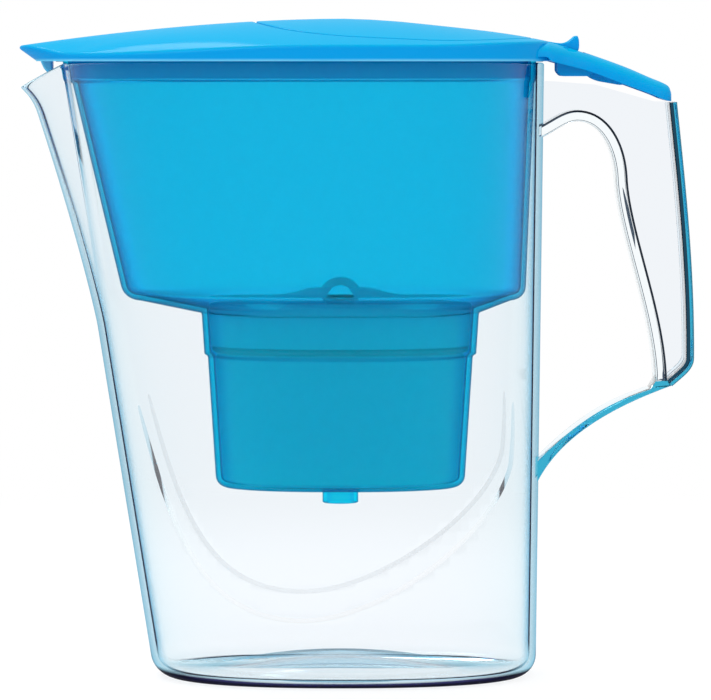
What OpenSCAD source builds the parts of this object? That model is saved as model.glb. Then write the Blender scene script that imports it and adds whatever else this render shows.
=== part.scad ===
// Water filter pitcher with flip lid.
// X runs from the spout (-X) to the handle (+X), Y across, Z up.
// The origin is the middle of the base, on the plane that the jug stands on.

/* [Jug] */
// Height of the jug's rim above the table
rim_z = 235.4; // [196:0.1:283]
// Reach of the base to the front
base_front = 71.7; // [62:0.1:86]
// Reach of the rim to the front, without the spout
rim_front = 108.9; // [92:0.1:131]
// Reach of the base to the back
base_back = 75.2; // [63:0.1:90]
// Reach of the rim to the back
rim_back = 77.8; // [66:0.1:93]
// Half of the width at the base
base_half = 45.5; // [40:0.1:54]
// Half of the width at the rim
rim_half = 50; // [44:0.1:60]
// Thickness of the jug's wall
jug_wall = 2.5; // [2:0.1:3]
// Thickness of the jug's floor
jug_floor = 3; // [2.5:0.1:4]
// Radius of the edge round the base
base_round = 8; // [6:0.5:10]
// Height of the dome pressed up into the base
kick_up = 6.5; // [5:0.5:8]
// Half of the length of the dome in the base
dome_long = 50; // [42:1:54]
// Half of the width of the dome in the base
dome_wide = 29; // [24:1:32]
// Height of the curved bead on each side of the jug
bead_rise = 0.4; // [0.3:0.1:0.8]
// Width of that bead
bead_wide = 2; // [1.5:0.1:3]

/* [Spout] */
// Share of the jug's width that the spout takes
spout_share = 0.34; // [0.28:0.01:0.4]
// How far the spout stands proud of the oval at its tip
spout_reach = 10.2; // [8:0.1:13]
// How far the pouring lip turns out beyond that
lip_reach = 3.5; // [2.5:0.1:4.5]
// How far the rim dips at the spout's tip
spout_dip = 9.2; // [8:0.1:12]
// Height of the spout, from its foot to the rim
spout_height = 100.4; // [86:0.1:121]
// Height of the turned lip below the tip
lip_height = 10.5; // [8:0.5:12]

/* [Handle] */
// How far the handle reaches behind the rim
handle_reach = 57; // [50:0.5:68]
// Thickness of the wall inside the hand
grip_wall = 4.2; // [3.5:0.1:5]
// Width of the wall inside the hand
grip_wide = 22; // [18:0.5:26]
// Thickness of the wall at the back of the handle
spine_wall = 3; // [2.5:0.1:3.6]
// Width of the wall at the back of the handle
spine_wide = 24; // [20:0.5:24.5]
// Thickness of the web between the two walls
web_wall = 2.6; // [2:0.1:3.2]
// Width of the curved strut under the handle
strut_wide = 18; // [15:0.5:22]

/* [Hopper] */
// Thickness of the hopper's wall
hopper_wall = 2; // [1.6:0.1:2.4]
// Thickness of the flange that rests on the jug's rim
flange = 1.2; // [1:0.1:1.6]
// Depth of the collar that fits inside the rim
collar_depth = 7.2; // [6:0.1:9]
// Step inwards below the collar, at the front
collar_step = 2.4; // [1.8:0.1:2.8]
// Depth of the hopper, from the rim to its lowest corner
hopper_depth = 90.4; // [82:0.1:94]
// Room between hopper and jug at the front, at the lowest corner
front_gap = 9.5; // [8:0.5:12]
// Room between hopper and jug at the back, at the lowest corner
back_gap = 3.4; // [3:0.1:5]
// Room between hopper and jug at the sides, at the lowest corner
side_gap = 4; // [3:0.1:5]
// Radius of the hopper's lower edge
hopper_round = 5; // [3:0.5:6]
// How far the floor falls from its edge to the filter housing
floor_fall = 5; // [3:0.5:6]

/* [Filter housing] */
// Half of the length of the housing at its mouth
mouth_long = 53; // [50:0.5:55]
// Half of the width of the housing at its mouth
mouth_wide = 34; // [31:0.5:34.5]
// How much the housing narrows to its foot, on each side
foot_taper = 5.5; // [4:0.5:7]
// Radius of the edge round the housing's foot
foot_round = 4; // [2:0.5:5]
// Depth of the housing, from its mouth to the outside of its floor
housing_depth = 67; // [60:1:72]
// Depth of the ledge round the housing below its mouth
ledge_drop = 15.5; // [12:0.5:18]
// How far the ledge stands proud
ledge_step = 1.3; // [1:0.1:1.6]
// Outside diameter of the outlet nozzle
nozzle_d = 13.7; // [12:0.1:16]
// Length of the outlet nozzle
nozzle_len = 6.3; // [5:0.1:8]

/* [Cartridge] */
// Thickness of the cartridge's wall
cup_wall = 1.5; // [1.2:0.1:1.8]
// Room between the cartridge and its housing
cup_gap = 0.8; // [0.5:0.1:1]
// Height of the mound in the middle of the cap
mound_rise = 6; // [5:0.5:8]
// Radius of the pull ring
ring_r = 8.5; // [7:0.5:9.5]
// Thickness of the pull ring
ring_wide = 5; // [4:0.5:6]
// Thickness of the two screens
screen = 0.8; // [0.6:0.1:1]

/* [Lid] */
// Thickness of the lid's shell
lid_wall = 2; // [1.8:0.1:2.4]
// How far the skirt stands proud of the jug's rim
skirt_out = 2.4; // [2:0.1:3]
// Height of the skirt's lower edge above the rim
skirt_low = 0.5; // [0.4:0.1:0.8]
// Height of the skirt's upper edge above the rim, at the sides
skirt_rise = 6.4; // [6:0.1:8]
// How far that edge falls on its way to the beak
front_fall = 4.2; // [3:0.1:4.4]
// How far it rises on its way to the tail
rear_rise = 1.5; // [1:0.1:2]
// Height of the dome above the skirt's upper edge
crown = 10.4; // [8:0.1:12]
// How far the beak reaches out beyond the lid's oval
beak_reach = 11.2; // [8:0.1:13]
// How far the foot of the skirt follows the beak
beak_foot = 5; // [4:0.1:6]
// Length of the tail behind the lid's oval
tail_len = 48.2; // [42:0.5:55]
// Width of the tail
tail_wide = 28; // [24:0.5:32]
// Depth of the ring that sits inside the hopper's collar
plug_depth = 6; // [4:0.5:8]

/* [Flap] */
// Middle of the flap, behind the middle of the jug
flap_x = 22; // [18:0.5:24]
// Reach of the flap to the front, from its middle
flap_front = 54; // [46:0.5:56]
// Reach of the flap to the back, from its middle
flap_back = 51; // [46:0.5:51.5]
// Half of the width of the flap
flap_half = 43; // [36:0.5:43.5]
// Width of the flap's neck
neck_wide = 16; // [13:0.5:17]
// Height of the thumb fin above the hinge
fin_rise = 5.8; // [5:0.1:8]
// Distance of the hinge behind the rim
hinge_back = 4.2; // [4:0.1:5]
// Height of the hinge's axis above the rim
hinge_rise = 4.4; // [4.2:0.1:4.8]
// Radius of the hinge's stubs
stub_r = 1.5; // [1.2:0.1:1.6]
// Length of each stub
stub_len = 3; // [2:0.1:3.4]

/* [Clearances] */
// Running clearance of the hinge's stubs in their sockets, on the radius
pin_clear = 0.05; // [0.03:0.01:0.1]
// Clearance between pieces that rest on each other
rest_gap = 0.3; // [0.3:0.05:0.5]
// Clearance between pieces that slide past each other
slide_gap = 0.5; // [0.4:0.05:0.8]
// Gap between the flap and the lid
flap_gap = 0.7; // [0.5:0.05:1]
// How far the hopper's flange stays inside the jug's rim
flange_inset = 0.3; // [0.2:0.05:0.6]

/* [Hidden] */

clear_tint = [0.86, 0.93, 0.97, 0.35];
blue_tint = [0.0, 0.66, 0.88, 0.7];
lid_blue = [0.0, 0.6, 0.86];
$fn = 48;

// ---- shared functions ----
function mix(a, b, t) = a + (b - a) * t;
function part_of(v, lo, hi) = min(max((v - lo) / (hi - lo), 0), 1);
function ease(t) = t * t * (3 - 2 * t);
function spow(v, e) = sign(v) * pow(abs(v), e);
function bezier(p, n) = [for (i = [0:n])
    let (t = i / n, s = 1 - t)
    s * s * s * p[0] + 3 * s * s * t * p[1] + 3 * s * t * t * p[2] + t * t * t * p[3]];
function reversed(list) = [for (i = [len(list) - 1:-1:0]) list[i]];
function tail_of(list) = [for (i = [1:len(list) - 1]) list[i]];

// A path moved sideways by d, to the left of its direction
function beside(path, d) = [for (i = [0:len(path) - 1])
    let (
        v = path[min(i + 1, len(path) - 1)] - path[max(i - 1, 0)],
        u = v / norm(v)
    )
    path[i] + d * [-u[1], u[0]]];

// ---- the oval plan that jug, hopper, cartridge and lid share ----
// Squareness of the ovals; 2 would be an ellipse
square = 2.3;
// Angle at which the spout's edge leaves the oval
spout_angle = asin(pow(spout_share, square / 2));
rear_cols = 18;
side_cols = 10;
front_cols = 8;
COLS = concat(
    [for (i = [0:rear_cols - 1]) mix(-90, 90, i / rear_cols)],
    [for (i = [0:side_cols - 1]) mix(90, 180 - spout_angle, i / side_cols)],
    [for (i = [0:front_cols - 1])
        mix(180 - spout_angle, 180 + spout_angle, i / front_cols)],
    [for (i = [0:side_cols - 1]) mix(180 + spout_angle, 270, i / side_cols)]
);
// Coarser columns for the small pieces inside
FEW = [for (i = [0:31]) i * 11.25];

function oval(a, front, back, half) = [
    (cos(a) < 0 ? front : back) * spow(cos(a), 2 / square),
    half * spow(sin(a), 2 / square)
];
function ring(cols, front, back, half, z) =
    [for (a = cols) let (p = oval(a, front, back, half)) [p[0], p[1], z]];

// A skin over rings with equal numbers of points, from one flat end to the other
module loft(rings) {
    n = len(rings[0]);
    m = len(rings);
    sides = [for (j = [0:m - 2]) for (i = [0:n - 1])
        let (a = j * n + i, b = j * n + (i + 1) % n)
        each [[a, a + n, b + n], [a, b + n, b]]];
    low_end = [for (i = [0:n - 1]) i];
    high_end = [for (i = [n - 1:-1:0]) (m - 1) * n + i];
    polyhedron([for (r = rings) each r], concat(sides, [low_end, high_end]), convexity = 10);
}

// The same skin closed on itself, with a hole through its middle
module loft_round(rings) {
    n = len(rings[0]);
    m = len(rings);
    sides = [for (j = [0:m - 1]) for (i = [0:n - 1])
        let (
            h = (i + 1) % n,
            k = (j + 1) % m,
            a = j * n + i,
            b = j * n + h,
            c = k * n + i,
            d = k * n + h
        )
        each [[a, c, d], [a, d, b]]];
    polyhedron([for (r = rings) each r], sides, convexity = 10);
}

// ---- jug ----
function jug_front(z) = mix(base_front, rim_front, z / rim_z);
function jug_back(z) = mix(base_back, rim_back, z / rim_z);
function jug_half(z) = mix(base_half, rim_half, z / rim_z);

spout_foot = rim_z - spout_height;
tip_z = rim_z - spout_dip;
lip_foot = tip_z - lip_height;

// 1 at the spout's middle, 0 at its edges and beyond
function spout_share_at(a) =
    let (u = cos(a) < 0 ? pow(abs(sin(a)), 2 / square) / spout_share : 1)
    u < 1 ? cos(90 * u) : 0;
function spout_fall(z) = spout_dip * pow(part_of(z, spout_foot, rim_z), 2);
function spout_depth(z) =
    spout_reach * pow(part_of(z, spout_foot, tip_z), 1.25)
    + lip_reach * pow(part_of(z, lip_foot, tip_z), 2.5);

// One point of the jug's wall at nominal height z, moved inwards by inset
function jug_point(a, z, inset) =
    let (
        p = oval(a, jug_front(z) - inset, jug_back(z) - inset, jug_half(z) - inset),
        share = spout_share_at(a),
        fall = spout_fall(z)
    )
    [p[0] - spout_depth(z - fall) * share, p[1], z - fall * share];
function jug_ring(z, inset) = [for (a = COLS) jug_point(a, z, inset)];
function dome_ring(t, z) =
    ring(COLS, dome_long * t, dome_long * t, dome_wide * t, z + kick_up * (1 - t * t));

jug_levels = concat(
    [for (t = [0.06, 0.2, 0.38]) spout_foot * t / 0.5],
    [for (t = [0, 0.12, 0.25, 0.38, 0.5, 0.62, 0.73, 0.82, 0.9, 0.96, 1]) mix(spout_foot, rim_z, t)]
);
dome_steps = [0.1, 0.4, 0.7, 0.9, 1];
corner_steps = [0, 25, 50, 75];

module jug_shell() {
    inner_round = base_round - jug_wall;
    loft(concat(
        [for (t = dome_steps) dome_ring(t, 0)],
        [for (s = corner_steps) jug_ring(base_round * (1 - cos(s)), base_round * (1 - sin(s)))],
        [for (z = jug_levels) jug_ring(z, 0)],
        [for (z = reversed(jug_levels)) jug_ring(z, jug_wall)],
        [for (s = reversed(corner_steps))
            jug_ring(jug_floor + inner_round * (1 - cos(s)), jug_wall + inner_round * (1 - sin(s)))],
        [for (t = reversed(dome_steps)) dome_ring(t, jug_floor)]
    ));
}

// ---- curved bead on each side of the jug ----
// How far the jug's outside lies from the middle plane at x, z
function side_y(x, z) =
    jug_half(z) * pow(1 - pow(abs(x) / (x < 0 ? jug_front(z) : jug_back(z)), square), 1 / square);
// The bead's line in side view: four ends of its parts and the points between that bend them,
// in shares of the base's reach and of the jug's height
bead_pts = [for (p = [[-1.075, 0.466], [-0.9, 0.263], [-0.75, 0.115], [-0.21, 0.113], [0.21, 0.113],
        [0.78, 0.25], [0.857, 0.357], [0.87, 0.395], [0.87, 0.425], [0.865, 0.467]])
    [p[0] * (p[0] < 0 ? base_front : base_back), p[1] * rim_z]];
bead_line = concat(
    bezier([for (i = [0:3]) bead_pts[i]], 14),
    tail_of(bezier([for (i = [3:6]) bead_pts[i]], 12)),
    tail_of(bezier([for (i = [6:9]) bead_pts[i]], 3))
);

module bead() {
    root = jug_wall / 2;
    skin = 0.05;
    low = beside(bead_line, -bead_wide / 2);
    high = beside(bead_line, bead_wide / 2);
    n = len(bead_line) - 1;
    function on_side(p, out) = [p[0], -side_y(p[0], p[1]) - out, p[1]];
    loft([for (i = [0:n])
        let (rise = bead_rise * min(1, 8 * i / n, 8 * (n - i) / n))
        [
            on_side(high[i], -root),
            on_side(high[i], -skin),
            on_side(bead_line[i], rise),
            on_side(low[i], -skin),
            on_side(low[i], -root)
        ]]);
}

// ---- handle ----
// Side view of the handle, as [x, z]. hx and hz count from the rim's rearmost point.
function hpt(hx, hz) = [rim_back + hx * handle_reach / 57, rim_z + hz];
// A root of the handle, inside the jug's wall
function root(hz) = [jug_back(rim_z + hz) - jug_wall * 0.8, rim_z + hz];
hole_path = concat(
    bezier([root(-28.9), hpt(3.2, -26.9), hpt(7.7, -22.4), hpt(12.2, -22.3)], 6),
    tail_of(bezier([hpt(12.2, -22.3), hpt(21.2, -22.2), hpt(26.5, -32.4), hpt(27.2, -43.4)], 6)),
    tail_of(bezier([hpt(27.2, -43.4), hpt(28.1, -64.4), hpt(42, -95.4), hpt(42.6, -121.4)], 8))
);
strut_top = concat(
    [hpt(42.2, -123.6)],
    bezier([hpt(40.6, -124.6), hpt(25, -129.4), hpt(13, -136.4), root(-153.4)], 8)
);
spine_path = bezier([hpt(50.1, -14.9), hpt(52.7, -39.4), hpt(57.2, -75.4), hpt(57.1, -112.4)], 8);
heel_path = bezier([hpt(57.1, -112.4), hpt(57.1, -116.9), hpt(53, -119.4), hpt(48.8, -123.2)], 4);
strut_low = bezier([hpt(48.8, -123.2), hpt(26, -131.4), hpt(4.2, -143.4), root(-163.4)], 9);
top_path = [root(-6.9), hpt(4, -7.2), hpt(19.5, -8.4), hpt(42, -14.8)];

module upright(points, wide) {
    translate([0, wide / 2, 0]) rotate([90, 0, 0]) linear_extrude(wide) polygon(points);
}
// Keeps the ends of a path inside the jug's wall
function walled(path) = [for (p = path) [max(p[0], jug_back(p[1]) - jug_wall * 0.8), p[1]]];
module strip(path, thick, wide) {
    upright(concat(path, reversed(walled(beside(path, thick)))), wide);
}

module handle() {
    outline = concat(top_path, spine_path, tail_of(heel_path), tail_of(strut_low));
    inner = concat(hole_path, strut_top);
    upright(concat(outline, reversed(inner)), web_wall);
    strip(hole_path, grip_wall, grip_wide);
    strip(concat(spine_path, tail_of(heel_path)), -spine_wall, spine_wide);
    // The strut's outline reaches into the foot of the grip wall and into the heel,
    // so that they share more than an edge
    upright(concat([hole_path[len(hole_path) - 1]], strut_top, reversed(strut_low),
        [heel_path[3], heel_path[2]]), strut_wide);
}

module pitcher_body() {
    color(clear_tint) {
        jug_shell();
        handle();
        bead();
        mirror([0, 1, 0]) bead();
    }
}

// ---- hopper ----
collar_z = rim_z - collar_depth;
corner_z = rim_z - hopper_depth;
mouth_z = corner_z - floor_fall;
housing_z = mouth_z - housing_depth;
ledge_z = mouth_z - ledge_drop;
foot_long = mouth_long - foot_taper;
foot_wide = mouth_wide - foot_taper;
// Height over which the collar steps in, and over which the housing steps in below its ledge
step_high = 1.6;
ledge_high = 1.4;
flange_z = rim_z + rest_gap;
hopper_top = flange_z + flange;

// Reach of the hopper's outside at height z: the jug's, less its wall and the sliding gap,
// and below the collar less a step that grows to gap_low at the lowest corner
function hop(z, rim, base, gap_low, step) =
    let (down = (collar_z - z) / (collar_z - corner_z))
    mix(rim, base, 1 - z / rim_z) - jug_wall - slide_gap
    - (down > 0.001 ? step + (gap_low - step - slide_gap) * down : 0);
function hop_ring(z, inset) = ring(COLS,
    hop(z, rim_front, base_front, front_gap, collar_step) - inset,
    hop(z, rim_back, base_back, back_gap, collar_step / 4) - inset,
    hop(z, rim_half, base_half, side_gap, collar_step / 3) - inset, z);
function house_ring(long, wide, z) = ring(COLS, long, long, wide, z);
function house_long(z) = mix(foot_long, mouth_long - ledge_step, part_of(z, housing_z, mouth_z));
function house_wide(z) = mix(foot_wide, mouth_wide - ledge_step, part_of(z, housing_z, mouth_z));

collar_levels = [flange_z, collar_z + step_high / 2];
wall_levels = [for (t = [0, 0.25, 0.5, 0.75, 1])
    mix(collar_z - step_high / 2, corner_z + hopper_round, t)];
house_levels = [ledge_z - ledge_high, mix(housing_z, ledge_z, 0.5), housing_z + foot_round];
// The outside of the housing's foot, rounded by foot_round
function foot_ring(s, inset) =
    let (i = foot_round * (1 - sin(s)), z = housing_z + foot_round * (1 - cos(s)))
    house_ring(house_long(z) - i - inset, house_wide(z) - i - inset, z);
function flange_ring(z) =
    ring(COLS, rim_front - flange_inset, rim_back - flange_inset, rim_half - flange_inset, z);
function flat(points, z) = [for (p = points) [p[0], p[1], z]];

module hopper_shell() {
    w = hopper_wall;
    bore = nozzle_d / 2 - w;
    r = hopper_round;
    loft_round(concat(
        // nozzle and housing, outside
        [house_ring(bore, bore, housing_z - nozzle_len)],
        [house_ring(nozzle_d / 2, nozzle_d / 2, housing_z - nozzle_len)],
        [house_ring(nozzle_d / 2, nozzle_d / 2, housing_z)],
        [for (s = [0, 30, 60]) foot_ring(s, 0)],
        [for (z = reversed(house_levels)) house_ring(house_long(z), house_wide(z), z)],
        [house_ring(mouth_long - 1, mouth_wide - 1, ledge_z)],
        [house_ring(mouth_long, mouth_wide, mouth_z)],
        // floor and wall, outside
        [hop_ring(corner_z, r)],
        [hop_ring(corner_z + r * 0.3, r * 0.3)],
        [for (z = reversed(wall_levels)) hop_ring(z, 0)],
        // collar and flange
        [for (z = reversed(collar_levels)) hop_ring(z, 0)],
        [flange_ring(flange_z)],
        [flange_ring(hopper_top)],
        // inside, from the top down
        [flat(hop_ring(rim_z, w), hopper_top)],
        [for (z = collar_levels) hop_ring(z, w)],
        [for (z = wall_levels) hop_ring(z, w)],
        [hop_ring(corner_z + w + (r - w) * 0.3, w + (r - w) * 0.3)],
        [hop_ring(corner_z + w, r)],
        [house_ring(mouth_long - w, mouth_wide - w, mouth_z + w * 0.8)],
        [house_ring(mouth_long - 1 - w, mouth_wide - 1 - w, ledge_z)],
        [for (z = house_levels) house_ring(house_long(z) - w, house_wide(z) - w, z)],
        [house_ring(foot_long - foot_round, foot_wide - foot_round, housing_z + w)],
        [house_ring(bore, bore, housing_z + w)]
    ));
}

module hopper() {
    color(blue_tint) hopper_shell();
}

// ---- cartridge ----
head_long = mouth_long - hopper_wall - cup_gap;
head_wide = mouth_wide - hopper_wall - cup_gap;
neck_inset = 1.2;
cup_z = housing_z + hopper_wall + rest_gap;
cap_z = mouth_z;
seal_z = ledge_z + 0.4;
seal_high = 2.4;
bed_low = cup_z + cup_wall + 0.2 + screen;
bed_top = cap_z - 2.2 - screen;

function small_ring(long, wide, z) = ring(FEW, long, long, wide, z);
// The cartridge's head, which narrows with the housing's mouth
function head_ring(z, inset) =
    let (i = inset + (mouth_z - min(z, mouth_z)) / ledge_drop)
    small_ring(head_long - i, head_wide - i, z);
// The cup's outside at height z, moved inwards by inset
function cup_ring(z, inset) = small_ring(
    house_long(z) - hopper_wall - cup_gap - inset,
    house_wide(z) - hopper_wall - cup_gap - inset, z);

module cartridge_shell() {
    w = cup_wall;
    slot = [12, 2, w + 2];
    color("white") difference() {
        loft([
            cup_ring(cup_z, 1.5),
            cup_ring(cup_z + 1.5, 0),
            cup_ring(mix(cup_z, seal_z, 0.5), 0),
            cup_ring(seal_z - 2.2, 0),
            cup_ring(seal_z - 0.6, neck_inset),
            cup_ring(seal_z + seal_high, neck_inset),
            head_ring(seal_z + seal_high + 0.2, 0),
            head_ring(cap_z - rest_gap, 0),
            head_ring(cap_z - rest_gap, w),
            head_ring(seal_z + seal_high + w, w),
            cup_ring(seal_z + seal_high, neck_inset + w),
            cup_ring(seal_z - 0.6, neck_inset + w),
            cup_ring(mix(cup_z, seal_z, 0.5), neck_inset / 2 + w),
            cup_ring(cup_z + w, neck_inset / 2 + w)
        ]);
        for (x = [-24, -8, 8, 24], y = [-12, 0, 12])
            translate([x - slot[0] / 2, y - slot[1] / 2, cup_z - 1]) cube(slot);
    }
}

module cartridge_cap() {
    w = cup_wall;
    top = cap_z + 3.4;
    peak = top + mound_rise;
    ring_z = peak - 4.4;
    tunnel_r = ring_r - 3.1;
    color("white") difference() {
        union() {
            loft([
                small_ring(8, 7, peak - w),
                small_ring(14.3, 11.5, top + mound_rise * 0.82 - w),
                small_ring(21, 15.7, top + mound_rise * 0.42 - w),
                small_ring(27.5, 19.5, top - w),
                small_ring(head_long - 3, head_wide - 3, top - w),
                small_ring(head_long - 3, head_wide - 3, cap_z),
                small_ring(head_long - 0.4, head_wide - 0.4, cap_z),
                small_ring(head_long, head_wide, cap_z + 0.6),
                small_ring(head_long, head_wide, top - 0.8),
                small_ring(head_long - 0.8, head_wide - 0.8, top),
                small_ring(29, 21, top),
                small_ring(22.5, 17, top + mound_rise * 0.42),
                small_ring(15.5, 12.5, top + mound_rise * 0.82),
                small_ring(9, 8, peak)
            ]);
            // pull ring and the walls of the finger tunnel below it
            translate([0, ring_wide / 2, 0]) rotate([90, 0, 0]) linear_extrude(ring_wide)
                intersection() {
                    translate([0, ring_z]) circle(ring_r);
                    translate([-ring_r, top - w]) square([2 * ring_r, 2 * ring_r]);
                }
            translate([-tunnel_r - w, -13, top - w])
                cube([2 * (tunnel_r + w), 26, mound_rise * 0.5]);
        }
        // finger tunnel through the mound, under the pull ring
        translate([0, 20, ring_z]) rotate([90, 0, 0]) cylinder(r = tunnel_r, h = 40);
        translate([-tunnel_r, -20, top + 0.3]) cube([2 * tunnel_r, 40, ring_z - top - 0.3]);
        // inlet slots
        for (x = [-1, 1], i = [0:4])
            translate([x * (34.5 + (4 - abs(i - 2)) * 1.2) - 3.5, (i - 2) * 6.4 - 0.9, cap_z - 1])
                cube([7, 1.8, 6]);
    }
}

module rim_seal() {
    color("gainsboro") loft_round([
        flat(cup_ring(seal_z + seal_high, neck_inset - 0.15), seal_z),
        head_ring(seal_z, 1),
        head_ring(seal_z + seal_high / 2, 0.1),
        head_ring(seal_z + seal_high, 1),
        cup_ring(seal_z + seal_high, neck_inset - 0.15)
    ]);
}

module slab(z, high, inset) {
    long = house_long(z) - hopper_wall - cup_gap - cup_wall - inset;
    wide = house_wide(z) - hopper_wall - cup_gap - cup_wall - inset;
    top_long = house_long(z + high) - hopper_wall - cup_gap - cup_wall - inset;
    top_wide = house_wide(z + high) - hopper_wall - cup_gap - cup_wall - inset;
    loft([small_ring(long, wide, z), small_ring(top_long, top_wide, z + high)]);
}
module inlet_screen() {
    color("lightgray") slab(bed_top + 0.1, screen, neck_inset + 0.4);
}
module filter_media() {
    color("dimgray") slab(bed_low + 0.1, bed_top - bed_low - 0.2, neck_inset + 0.5);
}
module outlet_screen() {
    color("lightgray") slab(cup_z + cup_wall + 0.1, screen, neck_inset);
}

// ---- lid ----
lid_front = rim_front + skirt_out;
lid_back = rim_back + skirt_out;
lid_half = rim_half + skirt_out;
skirt_z = rim_z + skirt_rise;
under_z = hopper_top + rest_gap;
flap_wall = lid_wall;
recess = flap_wall + rest_gap;
// Width and thickness of the ledge that the flap's edge lies on
ledge_wide = 3;
ledge_thick = 1.4;

// Height of the lid's top above the table at x, y
function dome_z(x, y) =
    let (
        nose = abs(x) / (x < 0 ? lid_front + beak_reach : lid_back),
        q = pow(pow(nose, square) + pow(abs(y) / lid_half, square), 1 / square),
        rim = pow(pow(abs(x) / (x < 0 ? lid_front : lid_back), square)
            + pow(abs(y) / lid_half, square), 1 / square)
    )
    skirt_z + crown * (1 - pow(q, 1.75))
    + rear_rise * ease(part_of(x, 0.38 * lid_back, lid_back))
    - front_fall * ease(part_of(-x, 0.09 * lid_front, 0.9 * lid_front))
        * ease(part_of(abs(y), 0.1 * lid_half, 0.48 * lid_half)) * pow(min(rim, 1), 8);

function beak_share(a) =
    let (u = cos(a) < 0 ? pow(abs(sin(a)), 2 / square) * 2 : 1)
    u < 1 ? pow(cos(90 * u), 2) : 0;
function lid_edge(a, inset, beak) =
    oval(a, lid_front - inset, lid_back - inset, lid_half - inset) - [beak * beak_share(a), 0];
function flap_edge(a, out) =
    [flap_x, 0] + oval(a, flap_front + out, flap_back + out, flap_half + out);
plug_low = rim_z - plug_depth;
function plug_edge(a, inset) =
    let (i = jug_wall + hopper_wall + 2 * slide_gap + inset)
    oval(a, jug_front(plug_low) - i, jug_back(plug_low) - i, jug_half(plug_low) - i);
function at_z(p, z) = [p[0], p[1], z];
function on_dome(p, drop) = [p[0], p[1], dome_z(p[0], p[1]) - drop];
// How deep the shell's underside lies under the dome: deeper where it carries the flap's ledge
function under_drop(a, p) =
    let (beyond = norm(p - [flap_x, 0]) - norm(flap_edge(a, flap_gap) - [flap_x, 0]))
    mix(recess + ledge_thick, lid_wall, part_of(beyond, 0.8, 2.5));

module lid_dome() {
    skirt_in = flange_inset - slide_gap;
    low = rim_z + skirt_low;
    loft_round([
        [for (a = COLS) at_z(lid_edge(a, 0, beak_foot), low)],
        [for (a = COLS) on_dome(lid_edge(a, 0, beak_reach), 1.1)],
        [for (a = COLS) on_dome(lid_edge(a, 0.6, beak_reach), 0)],
        each [for (t = [0.08, 0.2, 0.36, 0.52, 0.68, 0.84, 1])
            [for (a = COLS)
                on_dome(mix(lid_edge(a, 0.6, beak_reach), flap_edge(a, flap_gap), t), 0)]],
        [for (a = COLS) on_dome(flap_edge(a, flap_gap), recess)],
        [for (a = COLS) on_dome(flap_edge(a, flap_gap - ledge_wide), recess)],
        [for (a = COLS) on_dome(flap_edge(a, flap_gap - ledge_wide), recess + ledge_thick)],
        each [for (t = [0.3, 0.65, 1])
            [for (a = COLS)
                let (p = mix(flap_edge(a, flap_gap - ledge_wide), plug_edge(a, 1.5), t))
                on_dome(p, under_drop(a, p))]],
        [for (a = COLS) at_z(plug_edge(a, 1.5), plug_low)],
        [for (a = COLS) at_z(plug_edge(a, 0), plug_low)],
        [for (a = COLS) at_z(plug_edge(a, 0), under_z)],
        [for (a = COLS) at_z(lid_edge(a, skirt_out + skirt_in, beak_foot), under_z)],
        [for (a = COLS) at_z(lid_edge(a, skirt_out + skirt_in, beak_foot), low)]
    ]);
}

// A point of the lid's tail; tx and tz count from the rim's rearmost point
function tpt(tx, tz) = [rim_back + tx * tail_len / 50.2, rim_z + tz];
// Ten stations along the tail: its top, its lower edge and half of its width
tail_top = [tpt(-5, 7.2), tpt(0.1, 7.7), tpt(2.2, 7.7), tpt(9, 5.9), tpt(18.3, 3.1),
    tpt(31.7, -1.5), tpt(41.7, -5.6), tpt(46.4, -7.4), tpt(49.2, -8.9), tpt(50.2, -10.9)];
tail_low = [tpt(-5, 2.1), tpt(0.1, 2.1), tpt(2.2, 0.5), tpt(9, -1.2), tpt(18.3, -3.6),
    tpt(31.7, -8.4), tpt(41.7, -11.9), tpt(46.4, -13.8), tpt(49.2, -14.6), tpt(50.2, -14.6)];
tail_half = [24, 22.2, 21.5, 17.5, 14.6, 14, 13.4, 12.2, 10.2, 7.6];
tail_turns = [for (i = [0:12]) i * 15];

function tail_ring(i, inset, drop) =
    let (
        w = tail_half[i] * tail_wide / 28 - inset,
        h = tail_top[i][1] - inset - tail_low[i][1] + drop
    )
    [for (t = tail_turns)
        [tail_top[i][0], w * spow(cos(t), 0.6), tail_low[i][1] - drop + h * spow(sin(t), 0.6)]];

module tail_solid() {
    loft([for (i = [0:9]) tail_ring(i, 0, 0)]);
}
module tail_hollow() {
    loft([for (i = [2:7]) [for (p = tail_ring(i, lid_wall, 3)) p + [i == 2 ? 1 : 0, 0, 0]]]);
}

// ---- hinge between lid and flap ----
hinge_x = rim_back + hinge_back;
hinge_z = rim_z + hinge_rise;
slot_half = neck_wide / 2 + 0.6;
// Distance of the thumb fin's tip behind the hinge, and the room that it sweeps as it turns
fin_tip = 8.3;
fin_sweep = norm([fin_tip, fin_rise - 0.1]) + 0.8;
function at_hinge(list) = [for (p = list) [hinge_x + p[0], hinge_z + p[1]]];

module both_sides(inner, thick) {
    for (side = [-1, 1])
        translate([0, side * (inner + thick / 2), 0]) children();
}

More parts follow.
